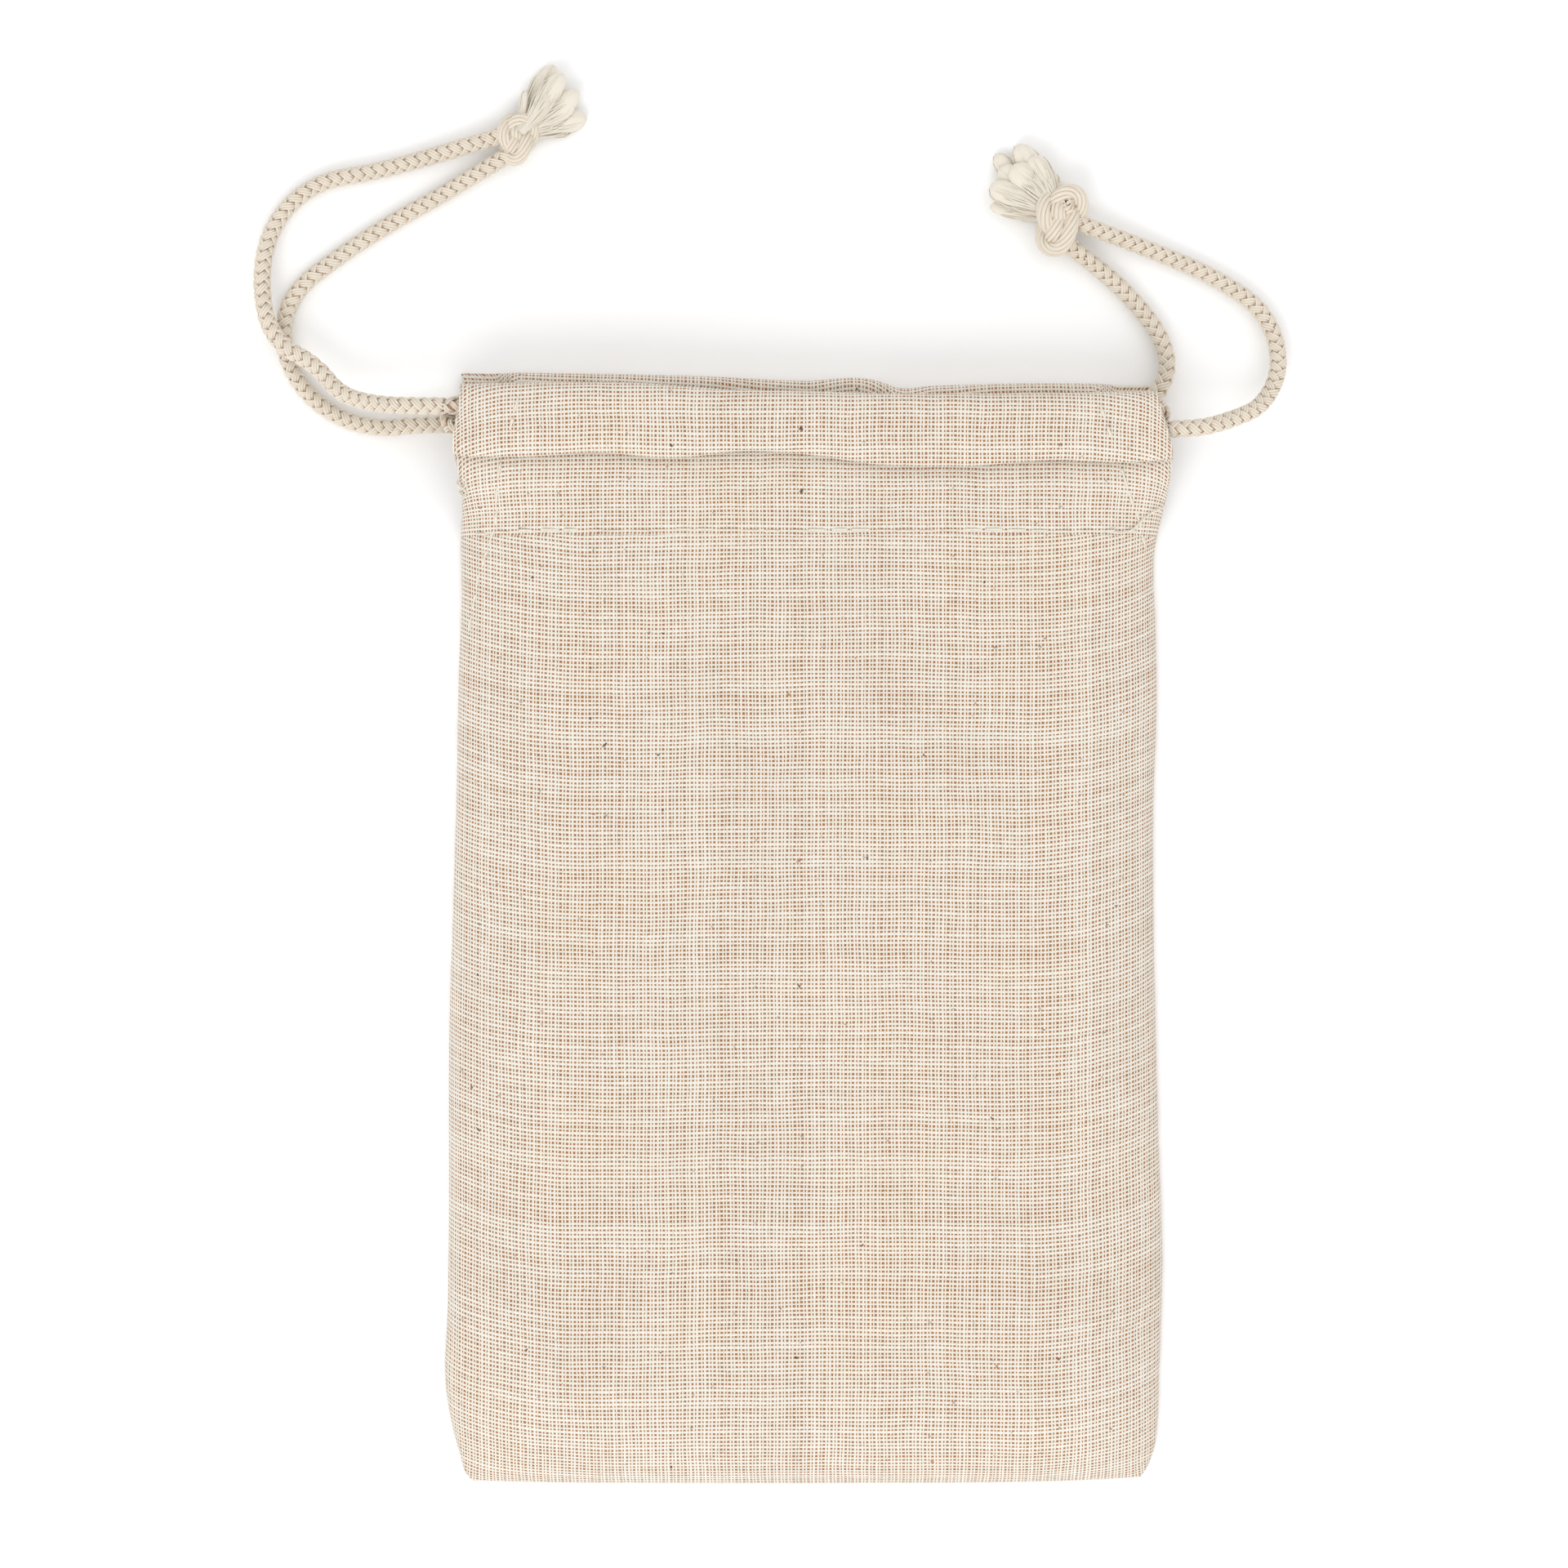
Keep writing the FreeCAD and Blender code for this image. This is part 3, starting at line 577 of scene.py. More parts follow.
def front_section_point(side, share, at, section, sizes, drop=0.0):
    """Point of the front casing or hem at a share of the half width, part way along its section."""
    straight_x = SIDES[side] * share * HALF_WIDTH
    seam_z = front_panel_point(side, share, np.full_like(share, STITCH_Y - BOTTOM_Y), sizes)[..., 2] - drop
    origins = {"stitch": np.full_like(share, STITCH_Y), "foot": along(ROLL_FOOT, straight_x),
               "crest": along(ROLL_CREST, straight_x)}
    controls = []
    for origin, step, height, risen in section:
        controls.append(np.stack([origins[origin] + step, seam_z + (height - seam_z) * risen], axis=-1))
    y, z = np.moveaxis(spline_point(np.array(controls), at), -1, 0)
    x = place_across(side, share, y)
    z = z + undulation(x, y, sizes.ripple / MM) * 0.35 * ease(at - 0.5)
    pitch = sizes.stitch_pitch / MM
    pucker = stitch_pucker(x, y, pitch) - stitch_pucker(x, STITCH_Y, pitch)
    z = z + pucker * ease((1.6 - at) * 2) * rounding((1 - share) * HALF_WIDTH, SIDE_ROLL)
    return np.stack([x, y, z], axis=-1)


def back_section_point(side, share, at, section):
    """Point of the back casing or hem. Its corners, where nothing fills them, are folded flat."""
    straight_x = SIDES[side] * share * HALF_WIDTH
    origins = {"stitch": np.full_like(share, STITCH_Y), "fold": along(BACK_FOLD, straight_x)}
    fullness = 1 - 0.86 * ease((np.abs(straight_x) - HEM_HALF) / 3.4)
    controls = []
    for origin, step, height in section:
        risen = BACK_LAYER_Z + (height - BACK_LAYER_Z) * fullness
        controls.append(np.stack([origins[origin] + step, risen], axis=-1))
    y, z = np.moveaxis(spline_point(np.array(controls), at), -1, 0)
    return np.stack([place_across(side, share, y), y, z], axis=-1)


def section_grid(point, side, section, share, per_step, *arguments):
    """Grid of points over a section, rows along the section and columns across the sack."""
    at = np.linspace(0, len(section) - 1, (len(section) - 1) * per_step + 1)
    return np.array([point(side, share, a, section, *arguments) for a in at])


def front_rises(step):
    """Distances up from the bottom fold, close together where the front is rounded."""
    turn = np.linspace(0, math.pi / 2, ROUNDED_ROWS)
    length = STITCH_Y - BOTTOM_Y
    rounded = BOTTOM_ROLL * (1 - np.cos(turn))
    return np.concatenate([rounded, np.linspace(BOTTOM_ROLL, length, int((length - BOTTOM_ROLL) / step))[1:]])


def front_at(x, y, sizes):
    """Point and normal of the front's outer face at a place in plan."""
    side = "left" if x < 0 else "right"
    reach = 0.25
    px = x + np.array([-reach, reach, 0.0, 0.0, 0.0])
    py = y + np.array([0.0, 0.0, -reach, reach, 0.0])
    share = px / (SIDES[side] * (HALF_WIDTH + along(EDGE_STEPS[side], py)))
    heights = front_panel_point(side, share, py - BOTTOM_Y, sizes)[:, 2]
    if y + reach > STITCH_Y:
        lines = np.array([front_section_point(side, share, a, FRONT_SECTION, sizes)
                          for a in np.linspace(0, LAST_OUTER_STEP, 64)])
        # The roll's lip overhangs its foot, so the line is followed only where it goes on up the sack.
        casing = [np.interp(py[k], np.maximum.accumulate(lines[:, k, 1]), lines[:, k, 2]) for k in range(5)]
        heights = np.where(py < STITCH_Y, heights, casing)
    slope_x = (heights[1] - heights[0]) / (2 * reach)
    slope_y = (heights[3] - heights[2]) / (2 * reach)
    normal = np.array([-slope_x, -slope_y, 1.0])
    normal /= np.linalg.norm(normal)
    return np.array([x, y, heights[4]]) + normal * CLOTH / 2, normal


# ---- cords ----

def route_points(name):
    """Points of a free strand's route."""
    side, face = name.split("_")
    low, high = box(side + "_casing_cord")
    radius = bpy.context.scene.sack_sizes.cord_diameter / MM / 2
    upper, lower = high[1] - radius, low[1] + radius
    if face == "front":
        start = np.array([SIDES[side] * HALF_WIDTH, upper if side == "left" else lower, high[2] - radius])
    else:
        inset = RIGHT_BACK_INSET if side == "right" else 0.0
        start = np.array([SIDES[side] * (HALF_WIDTH - inset), lower if side == "left" else upper,
                          low[2] + radius])
    steps = ROUTES[name]
    points = [start, start + [*steps[0], 0.0]]
    return points + [np.array([start[0] + dx, start[1] + dy, lift + radius]) for dx, dy, lift in steps[1:]]


def smooth_line(name, points):
    """Points along the smooth NURBS spline of a route, in millimetres."""
    curve = bpy.data.curves.new(name + "_line", "CURVE")
    curve.dimensions = "3D"
    curve.resolution_u = 24
    spline = curve.splines.new("NURBS")
    spline.points.add(len(points) - 1)
    for control, point in zip(spline.points, points):
        control.co = (*(np.asarray(point) * MM), 1.0)
    spline.order_u = 3
    spline.use_endpoint_u = True
    holder = bpy.data.objects.new(name + "_line", curve)
    bpy.context.scene.collection.objects.link(holder)
    bpy.context.view_layer.update()
    mesh = bpy.data.meshes.new_from_object(holder.evaluated_get(bpy.context.evaluated_depsgraph_get()))
    line = np.array([v.co for v in mesh.vertices]) / MM
    bpy.data.objects.remove(holder)
    bpy.data.meshes.remove(mesh)
    return line


def even_line(line, step):
    """The same line with its points a step apart."""
    length = run_lengths(line)
    keep = np.concatenate([[True], np.diff(length) > 1e-6])
    line, length = line[keep], length[keep]
    at = np.linspace(0, length[-1], max(8, int(length[-1] / step)))
    return np.stack([np.interp(at, length, line[:, k]) for k in range(3)], axis=1), at


def line_frames(line, first=(0.0, 0.0, 1.0)):
    """Two directions across a line at each point, carried along it without twist."""
    tangent = np.gradient(line, axis=0)
    tangent /= np.linalg.norm(tangent, axis=1, keepdims=True)
    across = np.empty_like(line)
    current = np.array(first, float)
    for i, direction in enumerate(tangent):
        current = current - direction * np.dot(current, direction)
        current /= np.linalg.norm(current)
        across[i] = current
    return across, np.cross(tangent, across)


def tube_mesh(line, radius, sides, flatten=1.0, first=(0.31, 0.17, 0.93)):
    """Points, faces, and lengthwise and round places of a closed tube, whose radius may change along it."""
    across, aside = line_frames(line, first)
    turn = np.arange(sides) * 2 * math.pi / sides
    radius = np.broadcast_to(radius, len(line))[:, None, None]
    ring = across[:, None] * np.cos(turn)[None, :, None] * flatten + aside[:, None] * np.sin(turn)[None, :, None]
    points = (line[:, None] + ring * radius).reshape(-1, 3)
    index = np.arange(len(line) * sides).reshape(len(line), sides)
    follow = np.roll(index, -1, axis=1)
    quads = np.stack([index[:-1], follow[:-1], follow[1:], index[1:]], axis=2).reshape(-1, 4).tolist()
    caps = [index[0, ::-1].tolist(), index[-1].tolist()]
    places = np.stack([np.repeat(run_lengths(line), sides), np.tile(turn, len(line)) / (2 * math.pi)], axis=1)
    return points, quads + caps, places


def join_meshes(meshes):
    """One set of points, faces and places from several."""
    points, faces, places, start = [], [], [], 0
    for part_points, part_faces, part_places in meshes:
        points.append(part_points)
        faces += [[v + start for v in face] for face in part_faces]
        places.append(part_places)
        start += len(part_points)
    return np.concatenate(points), faces, np.concatenate(places)


def yarn_lift(points, line, diameter, groove, rise):
    """How far a yarn's points stand up out of the grooves of a cord, from 0 to 1; the yarn material paints shade
    where this is low.
    """
    out = np.linalg.norm(points - np.repeat(line, YARN_SIDES, axis=0), axis=1)
    return np.clip((out / (diameter / 2) - groove) / rise, 0, 1)


def braid(name, line, sizes, scene, step=0.3, plies=3):
    """Round braid of eight yarns, four each way, each passing over two and under two."""
    diameter, lay, ply = sizes.cord_diameter / MM, sizes.cord_lay / MM, sizes.ply_radius / MM
    line, at = even_line(line, step)
    across, aside = line_frames(line)
    middle = diameter / 2 - BRAID_SWING - ply
    slant = math.cos(math.atan(2 * math.pi * middle / lay))
    meshes, lifts = [], []
    for way in (1, -1):
        for yarn in range(4):
            phase = 4 * math.pi * at / lay + way * math.pi * yarn - way * math.pi / 4
            wave = way * np.tanh(2.0 * np.cos(phase)) / math.tanh(2.0)
            for k in range(plies):
                spread = (k - (plies - 1) / 2) * 1.8 * ply / (middle + BRAID_SWING) / slant
                angle = yarn * math.pi / 2 + way * 2 * math.pi * at / lay + spread
                radial = across * np.cos(angle)[:, None] + aside * np.sin(angle)[:, None]
                path = line + radial * (middle + BRAID_SWING * wave)[:, None]
                points, faces, places = tube_mesh(path, ply, YARN_SIDES, 1.0, radial[0])
                lifts.append(yarn_lift(points, line, diameter, 0.62, 0.36))
                meshes.append((points, faces, places + [[17.3 * yarn + 5.1 * k + 70 * way, 0.37 * (yarn + 4 * k)]]))
    # A core fills the braid's middle, painted in full groove shade (a lift of 0).
    core = tube_mesh(line, middle * 0.9, 8, 1.0, across[0])
    meshes.append(core)
    lifts.append(np.zeros(len(core[0])))
    points, faces, places = join_meshes(meshes)
    return piece(name, points, faces, braid_material(scene), "yarn", places, np.concatenate(lifts)), line


def laid_rope(line, diameter, yarns, lay):
    """Rope drawn hard round a knot, whose yarns lie side by side along it with a slow turn."""
    line, at = even_line(line, 0.3)
    across, aside = line_frames(line)
    radius = 1.2 * math.pi * diameter / 2 / (yarns + 1.2 * math.pi)
    middle = diameter / 2 - radius
    # The rope's core is painted deep in groove shade (a lift of a quarter).
    meshes, lifts = [tube_mesh(line, middle, 10)], [np.full(len(line) * 10, 0.25)]
    for yarn in range(yarns):
        angle = 2 * math.pi * (yarn / yarns + at / lay)
        radial = across * np.cos(angle)[:, None] + aside * np.sin(angle)[:, None]
        points, faces, places = tube_mesh(line + radial * middle, radius, YARN_SIDES)
        lifts.append(yarn_lift(points, line, diameter, 0.66, 0.3))
        meshes.append((points, faces, places + [[17.3 * yarn, 0.37 * yarn]]))
    return meshes, lifts


# ---- operators ----

class GIFTSACK_OT_stage(bpy.types.Operator):
    """Plain pale table, soft studio light and a camera straight above"""
    bl_idname = "gift_sack.stage"
    bl_label = "Stage"

    def execute(self, context):
        scene = context.scene
        sizes = scene.sack_sizes
        camera = bpy.data.objects.new("camera", bpy.data.cameras.new("camera"))
        camera.data.sensor_width = 36.0
        camera.data.lens = 36.0 * sizes.camera_height / sizes.view_width
        camera.location = (-0.003, 0.0202, sizes.camera_height)
        scene.collection.objects.link(camera)
        scene.camera = camera

        material, tree = start_material("matt_white_card")
        colour = (*scene.sack_colours.floor, 1)
        shader = add(tree, "BsdfPrincipled", {"Base Color": colour, "Roughness": 0.95, "IOR": 1.45})[0]
        add(tree, "OutputMaterial", [shader])
        mesh = bpy.data.meshes.new("floor")
        reach = 4.0
        # The table is a hair below the sack, so that their faces never share a plane.
        level = -0.00005
        mesh.from_pydata([(x * reach, y * reach, level) for x, y in ((-1, -1), (1, -1), (1, 1), (-1, 1))], [],
                         [(0, 1, 2, 3)])
        mesh.materials.append(material)
        floor = bpy.data.objects.new("floor", mesh)
        scene.collection.objects.link(floor)

        world = bpy.data.worlds.new("studio")
        world.use_nodes = True
        background = world.node_tree.nodes["Background"]
        background.inputs["Color"].default_value = (1.0, 1.0, 1.0, 1.0)
        background.inputs["Strength"].default_value = 0.95
        scene.world = world
        # Each lamp's name, place, power and size. It is turned to the middle of the sack.
        for name, place, power, size in (("key_light", (-0.35, -0.9, 1.0), 6.5, 0.8),
                                         ("fill_light", (0.7, 0.3, 1.1), 1.6, 1.0)):
            lamp = bpy.data.lights.new(name, "AREA")
            lamp.size = size
            lamp.energy = power
            holder = bpy.data.objects.new(name, lamp)
            holder.location = place
            holder.rotation_euler = (math.atan2(math.hypot(place[0], place[1]), place[2]), 0.0,
                                     math.atan2(place[0], -place[1]))
            scene.collection.objects.link(holder)
        scene.view_settings.view_transform = "Standard"
        return {"FINISHED"}


class GIFTSACK_OT_drawcords(bpy.types.Operator):
    """Braided drawcords: the run that the casings hold, and the free strands of each cord"""
    bl_idname = "gift_sack.drawcords"
    bl_label = "Drawcords"

    def execute(self, context):
        scene = context.scene
        sizes = scene.sack_sizes
        radius = sizes.cord_diameter / MM / 2
        for side, way in SIDES.items():
            ends = {face: route_points(side + "_" + face) for face in ("front", "back")}
            low, high = box(side + "_casing_cord")
            far = -way * (max(abs(low[0]), abs(high[0])) - radius)
            turn = far + way * 4.6
            front, back = ends["front"][0], ends["back"][0]
            run = [front, (turn + way * 8, *front[1:]), (turn, *front[1:]), (far, *front[1:]), (far, *back[1:]),
                   (turn, *back[1:]), (turn + way * 8, *back[1:]), back]
            held, _ = braid(side + "_cord_in_casing", smooth_line(side + "_run", run), sizes, scene, 0.42, 2)
            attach(held, BODIES[side])
            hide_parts(side + "_casing_cord")
            for face, points in ends.items():
                name = side + "_" + face + "_strand"
                strand, line = braid(name + "_braid", smooth_line(name, points), sizes, scene)
                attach(strand, BODIES[side])
                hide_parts(name)
        return {"FINISHED"}


def knot_middle(side):
    """Middle of a knot, a little further out along its cord than the plain body that it stands for."""
    low, high = box(side + "_knot")
    return (low + high) / 2 + [0.0, 0.75, 0.0]


class GIFTSACK_OT_knots(bpy.types.Operator):
    """Overhand knot at the end of each drawcord"""
    bl_idname = "gift_sack.knots"
    bl_label = "Knots"

    def execute(self, context):
        scene = context.scene
        # Each knot's turn in degrees, its spread along each axis and its rope's thickness.
        for side, turn, spread, thick in (("left", -12.0, (0.42, 0.80, 0.80), 2.0),
                                          ("right", -14.0, (0.60, 1.26, 1.20), 2.3)):
            # An overhand knot of two cords drawn tight: a trefoil whose doubled loops press on each other.
            t = np.linspace(0, 2 * math.pi, 220)
            loop = np.stack([(np.sin(t) + 2 * np.sin(2 * t)) * spread[0],
                             (np.cos(t) - 2 * np.cos(2 * t)) * spread[1], -np.sin(3 * t) * spread[2]], axis=1)
            loop = loop - (loop.max(axis=0) + loop.min(axis=0)) / 2
            angle = math.radians(turn)
            spin = np.array([[math.cos(angle), -math.sin(angle), 0], [math.sin(angle), math.cos(angle), 0],
                             [0, 0, 1]])
            line = loop @ spin.T + knot_middle(side)
            flat_aside = np.gradient(line, axis=0)[:, [1, 0]] * [1, -1]
            flat_aside /= np.linalg.norm(flat_aside, axis=1, keepdims=True) + 1e-9
            reach = np.linspace(-1, 1, 12)
            core = np.outer(reach, spin @ [0, 1.9 * spread[1], 0]) + knot_middle(side) + [0, 0, 0.35]
            fullness = 3.0 * spread[0] * np.sqrt(1.02 - reach ** 2)
            # The knot's filling body is painted at half groove shade.
            meshes, lifts = [tube_mesh(core, fullness, 12, 0.7, (0.0, 0.0, 1.0))], [np.full(12 * 12, 0.5)]
            for way in (-1, 1):
                beside = line.copy()
                beside[:, :2] += flat_aside * way * thick * 0.42
                part_meshes, part_lifts = laid_rope(beside, thick, KNOT_ROPE_YARNS, KNOT_ROPE_LAY)
                meshes += part_meshes
                lifts += part_lifts
            points, faces, places = join_meshes(meshes)
            knot = piece(side + "_knot_braid", points, faces, braid_material(scene), "yarn", places,
                         np.concatenate(lifts))
            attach(knot, BODIES[side])
            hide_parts(side + "_knot")
        return {"FINISHED"}


class GIFTSACK_OT_tassels(bpy.types.Operator):
    """Frayed yarn beyond each knot, in soft clumps of fibres"""
    bl_idname = "gift_sack.tassels"
    bl_label = "Tassels"

    def execute(self, context):
        scene = context.scene
        for side in SIDES:
            chance = np.random.default_rng(scene.sack_sizes.seed + (side == "right"))
            middle = knot_middle(side)
            meshes, lifts = [], []
            for number, (dx, dy, width) in enumerate(CLUMPS[side]):
                tip = np.array([dx, dy, 0.0])
                length = np.linalg.norm(tip)
                outward = tip / length
                aside = np.array([-outward[1], outward[0], 0.0])
                base_z = 1.0 + 1.1 * (number % 3)
                fibres = int(46 * width / 3) + 8
                t = np.linspace(0, 1, 16)
                opening = 0.42 + 0.58 * ease((t - 0.1) / 0.7)
                body = 0.5 * width * opening * np.sqrt(np.clip(1.0 - 0.96 * t ** 9, 0, 1))
                axis = middle + outward * (1.0 + (0.93 * length - 1.0) * t)[:, None]
                axis = axis + aside * (0.35 * np.sin(4 * t + 2.1 * number) * t)[:, None]
                axis[:, 2] = np.maximum(base_z + 0.9 * (1 - t), 0.2 + 0.62 * body)
                points, faces, places = tube_mesh(axis, body, 14, 0.6, (0.0, 0.0, 1.0))
                meshes.append((points, faces, places * [1.0, 9.0] + [[3.3 * number, 0.0]]))
                # The body's colour runs from darker at the knot to lighter at its tip.
                lifts.append(np.repeat(0.55 + 0.3 * t, 14))
                # Fibres lie round the clump's soft body, each with its own length and wave.
                for fibre in range(fibres):
                    turn = 2 * math.pi * chance.random()
                    reach = 1.0 + 0.05 * chance.random()
                    stop = 0.70 + 0.30 * chance.random()
                    wave = 0.16 * np.sin(7 * t + 6.3 * chance.random()) * t
                    off = body * reach * math.cos(turn) + wave
                    line = axis + aside * off[:, None] + outward * (length * (stop - 1.0) * t)[:, None]
                    line[:, 2] = np.maximum(0.15, axis[:, 2] + 0.62 * body * reach * math.sin(turn) + 0.5 * wave)
                    thick = 0.13 * (1 - 0.55 * t ** 3)
                    points, faces, places = tube_mesh(line, thick, 4)
                    meshes.append((points, faces, places + [[9.0 * fibre, 0.21 * fibre]]))
                    # Painted light and shade: fibres that lie over or under the clump's body are painted lighter
                    # than those at its sides.
                    lifts.append(np.full(len(points), 0.45 + 0.4 * abs(math.sin(turn))))
            points, faces, places = join_meshes(meshes)
            tassel = piece(side + "_tassel_fibres", points, faces, frayed_material(scene), "yarn", places,
                           np.concatenate(lifts))
            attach(tassel, BODIES[side])
            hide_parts(side + "_tassel")
        return {"FINISHED"}


class GIFTSACK_OT_panels(bpy.types.Operator):
    """Front and back of the sack, each made in halves, one for each side"""
    bl_idname = "gift_sack.panels"
    bl_label = "Panels"

    def execute(self, context):
        scene = context.scene
        sizes = scene.sack_sizes
        step = sizes.grid_step / MM
        rises = front_rises(step)
        for side in SIDES:
            share = shares(side, edge_distances(step))
            grid = np.array([front_panel_point(side, share, np.full_like(share, rise), sizes) for rise in rises])
            places = cloth_places(grid, side, 0.0)
            sheet_piece("front_panel_" + side, grid, places, scene, ["front_panel"])
            straight_x = SIDES[side] * share * HALF_WIDTH
            flat = []
            for rise in np.linspace(0, STITCH_Y - BOTTOM_Y, 100):
                y = BOTTOM_Y + rise + along(BOTTOM_STEPS, straight_x) * (1 - ease(rise / BOTTOM_EASE))
                flat.append(np.stack([place_across(side, share, y), y, np.full_like(share, CLOTH / 2)], axis=-1))
            grid = np.array(flat)
            places = cloth_places(grid, side, 0.0)
            sheet_piece("back_panel_" + side, grid, places, scene, ["back_panel"], outward=-1)
        return {"FINISHED"}


class GIFTSACK_OT_casings(bpy.types.Operator):
    """Casings at the mouth, each rolled over its cords, and the hems inside them"""
    bl_idname = "gift_sack.casings"
    bl_label = "Casings and hems"

    def execute(self, context):
        scene = context.scene
        sizes = scene.sack_sizes
        length = STITCH_Y - BOTTOM_Y + 8.0
        for side in SIDES:
            whole = shares(side, edge_distances(sizes.grid_step / MM))
            inner = shares(side, np.linspace(HALF_WIDTH - HEM_HALF, HALF_WIDTH, 60))
            # Each layer's section, points across and rows to a step, where its weave starts, and its strip.
            for node, section, share, per_step, start, strips in (
                    ("front_casing", FRONT_SECTION, whole, 5, length, ["front_slit_edge_" + side]),
                    ("front_hem", FRONT_HEM_SECTION, inner, 8, length + 30, []),
                    ("back_casing", BACK_SECTION, whole, 5, length, ["back_slit_edge_" + side]),
                    ("back_hem", BACK_HEM_SECTION, inner, 6, length + 30, [])):
                front = node.startswith("front")
                point = front_section_point if front else back_section_point
                given = ([sizes] if front else []) + ([CLOTH + 0.04] if node == "front_hem" else [])
                grid = section_grid(point, side, section, share, per_step, *given)
                sheet_piece(node + "_" + side, grid, cloth_places(grid, side, start), scene, [node],
                            outward=1 if front else -1)
        return {"FINISHED"}


class GIFTSACK_OT_turned_edges(bpy.types.Operator):
    """Turned edges of the side slits, and the cloth turned in at the side seams"""
    bl_idname = "gift_sack.turned_edges"
    bl_label = "Turned edges"

    def execute(self, context):
        scene = context.scene
        sizes = scene.sack_sizes
        for side, way in SIDES.items():
            share = shares(side, np.linspace(0.8, HALF_WIDTH - HEM_HALF - 0.4, 14))
            grid = np.array([front_section_point(side, share, a, FRONT_SECTION, sizes)
                             for a in np.concatenate([np.linspace(1.2, 4.0, 16), np.linspace(8.0, 9.8, 14)])])
            grid = grid - normals_of(grid) * (CLOTH + 0.03)
            places = cloth_places(grid, side, 20.0)
            sheet_piece("front_slit_edge_" + side, grid, places, scene, ["front_" + side + "_slit_hem"])
            grid = np.array([back_section_point(side, share, a, BACK_SECTION) for a in np.linspace(0.3, 2.9, 20)])
            grid = grid + [0.0, 0.0, CLOTH + 0.02]
            places = cloth_places(grid, side, 40.0)
            sheet_piece("back_slit_edge_" + side, grid, places, scene, ["back_" + side + "_slit_hem"],
                        outward=-1)
            low, high = box(side + "_seam_allowance")
            x, y = np.meshgrid(np.linspace(low[0], high[0], 12), np.linspace(low[1], high[1], 90))
            x = x - way * (1.0 + 0.4 * np.sin(0.07 * y + way)) * np.interp(np.abs(x), [42.4, 49.8], [0.4, 1.0])
            z = (low[2] + high[2]) / 2 + 0.02 * np.sin(0.3 * y)
            grid = np.stack([x, y, z], axis=2)
            sheet_piece("seam_allowance_" + side, grid, grid[:, :, :2].copy(), scene,
                        [side + "_seam_allowance"], thick=2 * CLOTH)
        return {"FINISHED"}


def stitch_tree():
    """Node tree that lays one arched stitch of thread at every point, turned along its row."""
    tree = bpy.data.node_groups.new("sewn_row", "GeometryNodeTree")
    sockets = tree.interface
    sockets.new_socket("Geometry", in_out="INPUT", socket_type="NodeSocketGeometry")
    for name, kind in (("Stitch length", "Float"), ("Thread radius", "Float"), ("Dip", "Float"), ("Seed", "Int"),
                       ("Thread", "Material")):
        sockets.new_socket(name, in_out="INPUT", socket_type="NodeSocket" + kind)
    sockets.new_socket("Geometry", in_out="OUTPUT", socket_type="NodeSocketGeometry")
    given = {s.name: s for s in add(tree, "NodeGroupInput")}
    half, back, sunk, raised = (add(tree, "MULTIPLY", [given[name], factor])[0]
                                for name, factor in (("Stitch length", 0.5), ("Stitch length", -0.5),
                                                     ("Dip", -1.0), ("Dip", 1.6)))
    start = add(tree, "CombineXYZ", {"X": back, "Z": sunk})[0]
    end = add(tree, "CombineXYZ", {"X": half, "Z": sunk})[0]
    top = add(tree, "CombineXYZ", {"Z": raised})[0]
    arch = add(tree, "GeometryNodeCurveQuadraticBezier", {"Resolution": 6, "Start": start, "Middle": top,
                                                          "End": end})[0]
    ring = add(tree, "GeometryNodeCurvePrimitiveCircle", {"Resolution": 7, "Radius": given["Thread radius"]})[0]
    stitch = add(tree, "GeometryNodeCurveToMesh", {"Curve": arch, "Profile Curve": ring, "Fill Caps": True})[0]
    row = add(tree, "GeometryNodeInputNamedAttribute", {"Name": "row_direction"}, data_type="FLOAT_VECTOR")[0]
    face = add(tree, "GeometryNodeInputNamedAttribute", {"Name": "cloth_normal"}, data_type="FLOAT_VECTOR")[0]
    turned = add(tree, "FunctionNodeAlignRotationToVector", {"Vector": row}, axis="X")[0]
    turned = add(tree, "FunctionNodeAlignRotationToVector", {"Rotation": turned, "Vector": face}, axis="Z",
                 pivot_axis="X")[0]
    size = add(tree, "FunctionNodeRandomValue", {"Min": (0.86, 0.85, 0.9), "Max": (1.08, 1.15, 1.1),
                                                 "Seed": given["Seed"]}, data_type="FLOAT_VECTOR")[0]
    laid = add(tree, "GeometryNodeInstanceOnPoints", {"Points": given["Geometry"], "Instance": stitch,
                                                      "Rotation": turned, "Scale": size})[0]
    real = add(tree, "GeometryNodeRealizeInstances", {"Geometry": laid})[0]
    real = add(tree, "GeometryNodeSetShadeSmooth", {"Geometry": real})[0]
    done = add(tree, "GeometryNodeSetMaterial", {"Geometry": real, "Material": given["Thread"]})[0]
    add(tree, "NodeGroupOutput", [done])
    return tree


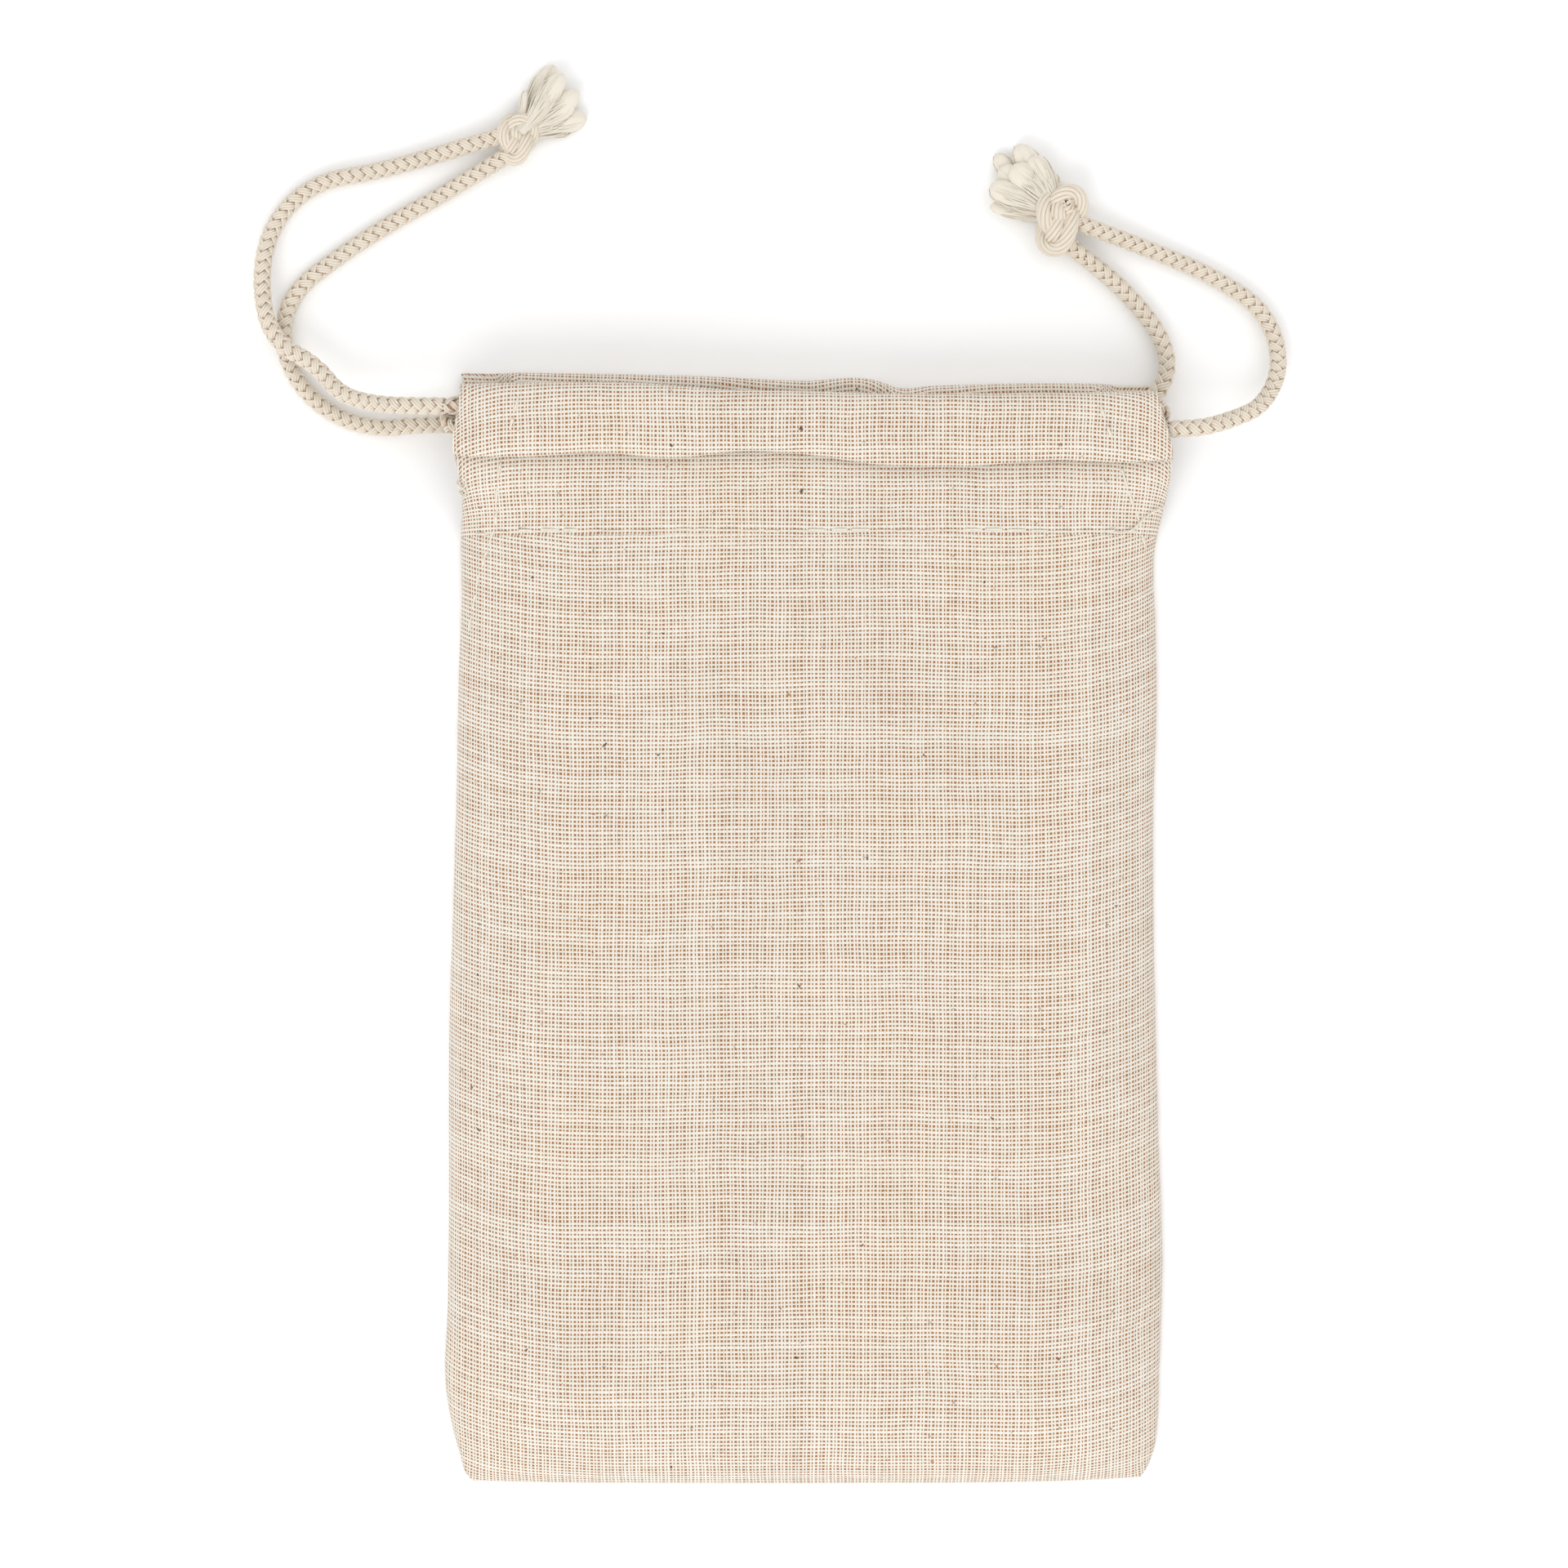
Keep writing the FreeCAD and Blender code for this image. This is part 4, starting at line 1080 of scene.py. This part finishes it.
def sewn_row(name, centres, directions, normals, scene, tree):
    """Stitches at given places, as one plain mesh."""
    sizes = scene.sack_sizes
    mesh = bpy.data.meshes.new(name)
    mesh.from_pydata((np.asarray(centres) * MM).tolist(), [], [])
    for field, values in (("row_direction", directions), ("cloth_normal", normals)):
        layer = mesh.attributes.new(field, "FLOAT_VECTOR", "POINT")
        layer.data.foreach_set("vector", np.asarray(values, float).ravel())
    holder = bpy.data.objects.new(name + "_places", mesh)
    scene.collection.objects.link(holder)
    modifier = holder.modifiers.new("sewn_row", "NODES")
    modifier.node_group = tree
    values = {"Stitch length": sizes.stitch_length, "Thread radius": sizes.thread_radius, "Dip": 0.00014,
              "Seed": sizes.seed, "Thread": thread_material(scene)}
    for item in tree.interface.items_tree:
        if item.item_type == "SOCKET" and item.in_out == "INPUT" and item.name in values:
            modifier[item.identifier] = values[item.name]
    holder.update_tag()
    bpy.context.view_layer.update()
    graph = bpy.context.evaluated_depsgraph_get()
    plain = bpy.data.meshes.new_from_object(holder.evaluated_get(graph))
    bpy.data.objects.remove(holder)
    result = bpy.data.objects.new(name, plain)
    scene.collection.objects.link(result)
    if not plain.polygons:
        raise RuntimeError(name + " has no stitches")
    return result


class GIFTSACK_OT_stitching(bpy.types.Operator):
    """Rows of stitches at the hems, the side slits and the side seams"""
    bl_idname = "gift_sack.stitching"
    bl_label = "Stitching"

    def execute(self, context):
        scene = context.scene
        sizes = scene.sack_sizes
        pitch = sizes.stitch_pitch / MM
        radius = sizes.thread_radius / MM
        tree = stitch_tree()
        rows = {}
        for side, way in SIDES.items():
            hem_x = way * (pitch / 2 + pitch * np.arange(15))
            hem_y = STITCH_Y + ROW_RISE + 0.12 * np.sin(0.31 * hem_x) - 0.25 * ease((-hem_x - 38) / 10)
            found = [front_at(x, y, sizes) for x, y in zip(hem_x, hem_y)]
            rows["front_hem_stitches_" + side] = ("front_hem_stitching", side, found, (1.0, 0.0, 0.0))
            inner_x = hem_x[np.abs(hem_x) < HEM_HALF - 1]
            found = [(np.array([x, STITCH_Y + 0.7, 0.84]), np.array([0.0, 0.0, 1.0])) for x in inner_x]
            rows["back_hem_stitches_" + side] = ("back_hem_stitching", side, found, (1.0, 0.0, 0.0))
            corners = np.array([(way * x, y, 0.0) for x, y in SLIT_ROWS[side]])
            length = run_lengths(corners)
            at = np.arange(pitch / 2, length[-1], pitch)
            spots = np.stack([np.interp(at, length, corners[:, k]) for k in range(2)], axis=1)
            found = [front_at(x, y, sizes) for x, y in spots]
            rows["slit_stitches_" + side] = (side + "_slit_stitching", side, found, None)
            low, high = box(side + "_seam_stitching")
            found = [(np.array([(low[0] + high[0]) / 2 - way * 0.9, y, low[2] + 0.04]), np.array([0.0, 0.0, 1.0]))
                     for y in np.arange(low[1] + 1.2, high[1], pitch)]
            rows["seam_stitches_" + side] = (side + "_seam_stitching", side, found, (0.0, 1.0, 0.0))
        for name, (node, side, found, direction) in rows.items():
            centres = np.array([place + normal * radius * 0.35 for place, normal in found])
            normals = np.array([normal for _, normal in found])
            directions = np.tile(direction, (len(found), 1)) if direction else np.gradient(centres, axis=0)
            row = sewn_row(name, centres, directions, normals, scene, tree)
            gather(row)
            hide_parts(node)
        return {"FINISHED"}


class GIFTSACK_OT_loose_threads(bpy.types.Operator):
    """Tail of sewing thread at the right-hand slit, and the two small loops at the left-hand edge"""
    bl_idname = "gift_sack.loose_threads"
    bl_label = "Loose threads"

    def execute(self, context):
        scene = context.scene
        sizes = scene.sack_sizes
        radius = sizes.thread_radius / MM
        spots = [(41.8, 55.6, 0.1), (43.6, 55.3, 0.3), (45.4, 56.0, 0.6), (46.9, 57.6, 0.5), (48.6, 58.9, 0.4),
                 (49.9, 59.6, 0.6)]
        points = []
        for x, y, lift in spots:
            place, normal = front_at(x, y, sizes)
            points.append(place + normal * (radius + lift))
        tail = tube_mesh(smooth_line("tail", points), radius * 0.8, 6)
        thread = piece("thread_tail", tail[0], tail[1], thread_material(scene))
        gather(thread)
        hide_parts("loose_thread_end")
        low, high = box("thread_loops")
        turn = np.linspace(0, 2 * math.pi, 29)
        meshes = []
        for y, size in ((high[1] - 0.8, 0.6), (low[1] + 0.6, 0.42)):
            edge = -(HALF_WIDTH + float(along(EDGE_STEPS["left"], y)))
            place = front_at(edge + 0.5, y, sizes)[0]
            ring = np.stack([place[0] - 0.25 + size * np.cos(turn), place[1] + size * 1.15 * np.sin(turn),
                             place[2] + 0.25 + 0.3 * np.sin(2 * turn)], axis=1)
            meshes.append(tube_mesh(ring, 0.17, 6))
        points, faces, _ = join_meshes(meshes)
        loops = piece("thread_loops_left", points, faces, thread_material(scene))
        gather(loops)
        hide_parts("thread_loops")
        return {"FINISHED"}


class GIFTSACK_PT_panel(bpy.types.Panel):
    """Makes each piece of the sack"""
    bl_idname = "GIFTSACK_PT_panel"
    bl_label = "Gift sack"
    bl_space_type = "VIEW_3D"
    bl_region_type = "UI"
    bl_category = "Gift Sack"

    def draw(self, context):
        for operator in OPERATORS:
            self.layout.operator(operator.bl_idname)
        for group in (context.scene.sack_sizes, context.scene.sack_colours):
            for name in group.bl_rna.properties.keys():
                if name not in ("rna_type", "name"):
                    self.layout.prop(group, name)


# In the order in which they run: a sheet or a cord is made after the pieces that go with it.
OPERATORS = (GIFTSACK_OT_stage, GIFTSACK_OT_knots, GIFTSACK_OT_tassels, GIFTSACK_OT_drawcords,
             GIFTSACK_OT_turned_edges, GIFTSACK_OT_panels, GIFTSACK_OT_casings, GIFTSACK_OT_stitching,
             GIFTSACK_OT_loose_threads)
CLASSES = (SackSizes, SackColours, *OPERATORS, GIFTSACK_PT_panel)


def register():
    for kind in CLASSES:
        bpy.utils.register_class(kind)
    bpy.types.Scene.sack_sizes = bpy.props.PointerProperty(type=SackSizes)
    bpy.types.Scene.sack_colours = bpy.props.PointerProperty(type=SackColours)


def unregister():
    del bpy.types.Scene.sack_colours
    del bpy.types.Scene.sack_sizes
    for kind in reversed(CLASSES):
        bpy.utils.unregister_class(kind)


def main():
    register()
    for operator in OPERATORS:
        getattr(bpy.ops.gift_sack, operator.bl_idname.split(".")[1])()


if __name__ == "__main__":
    main()
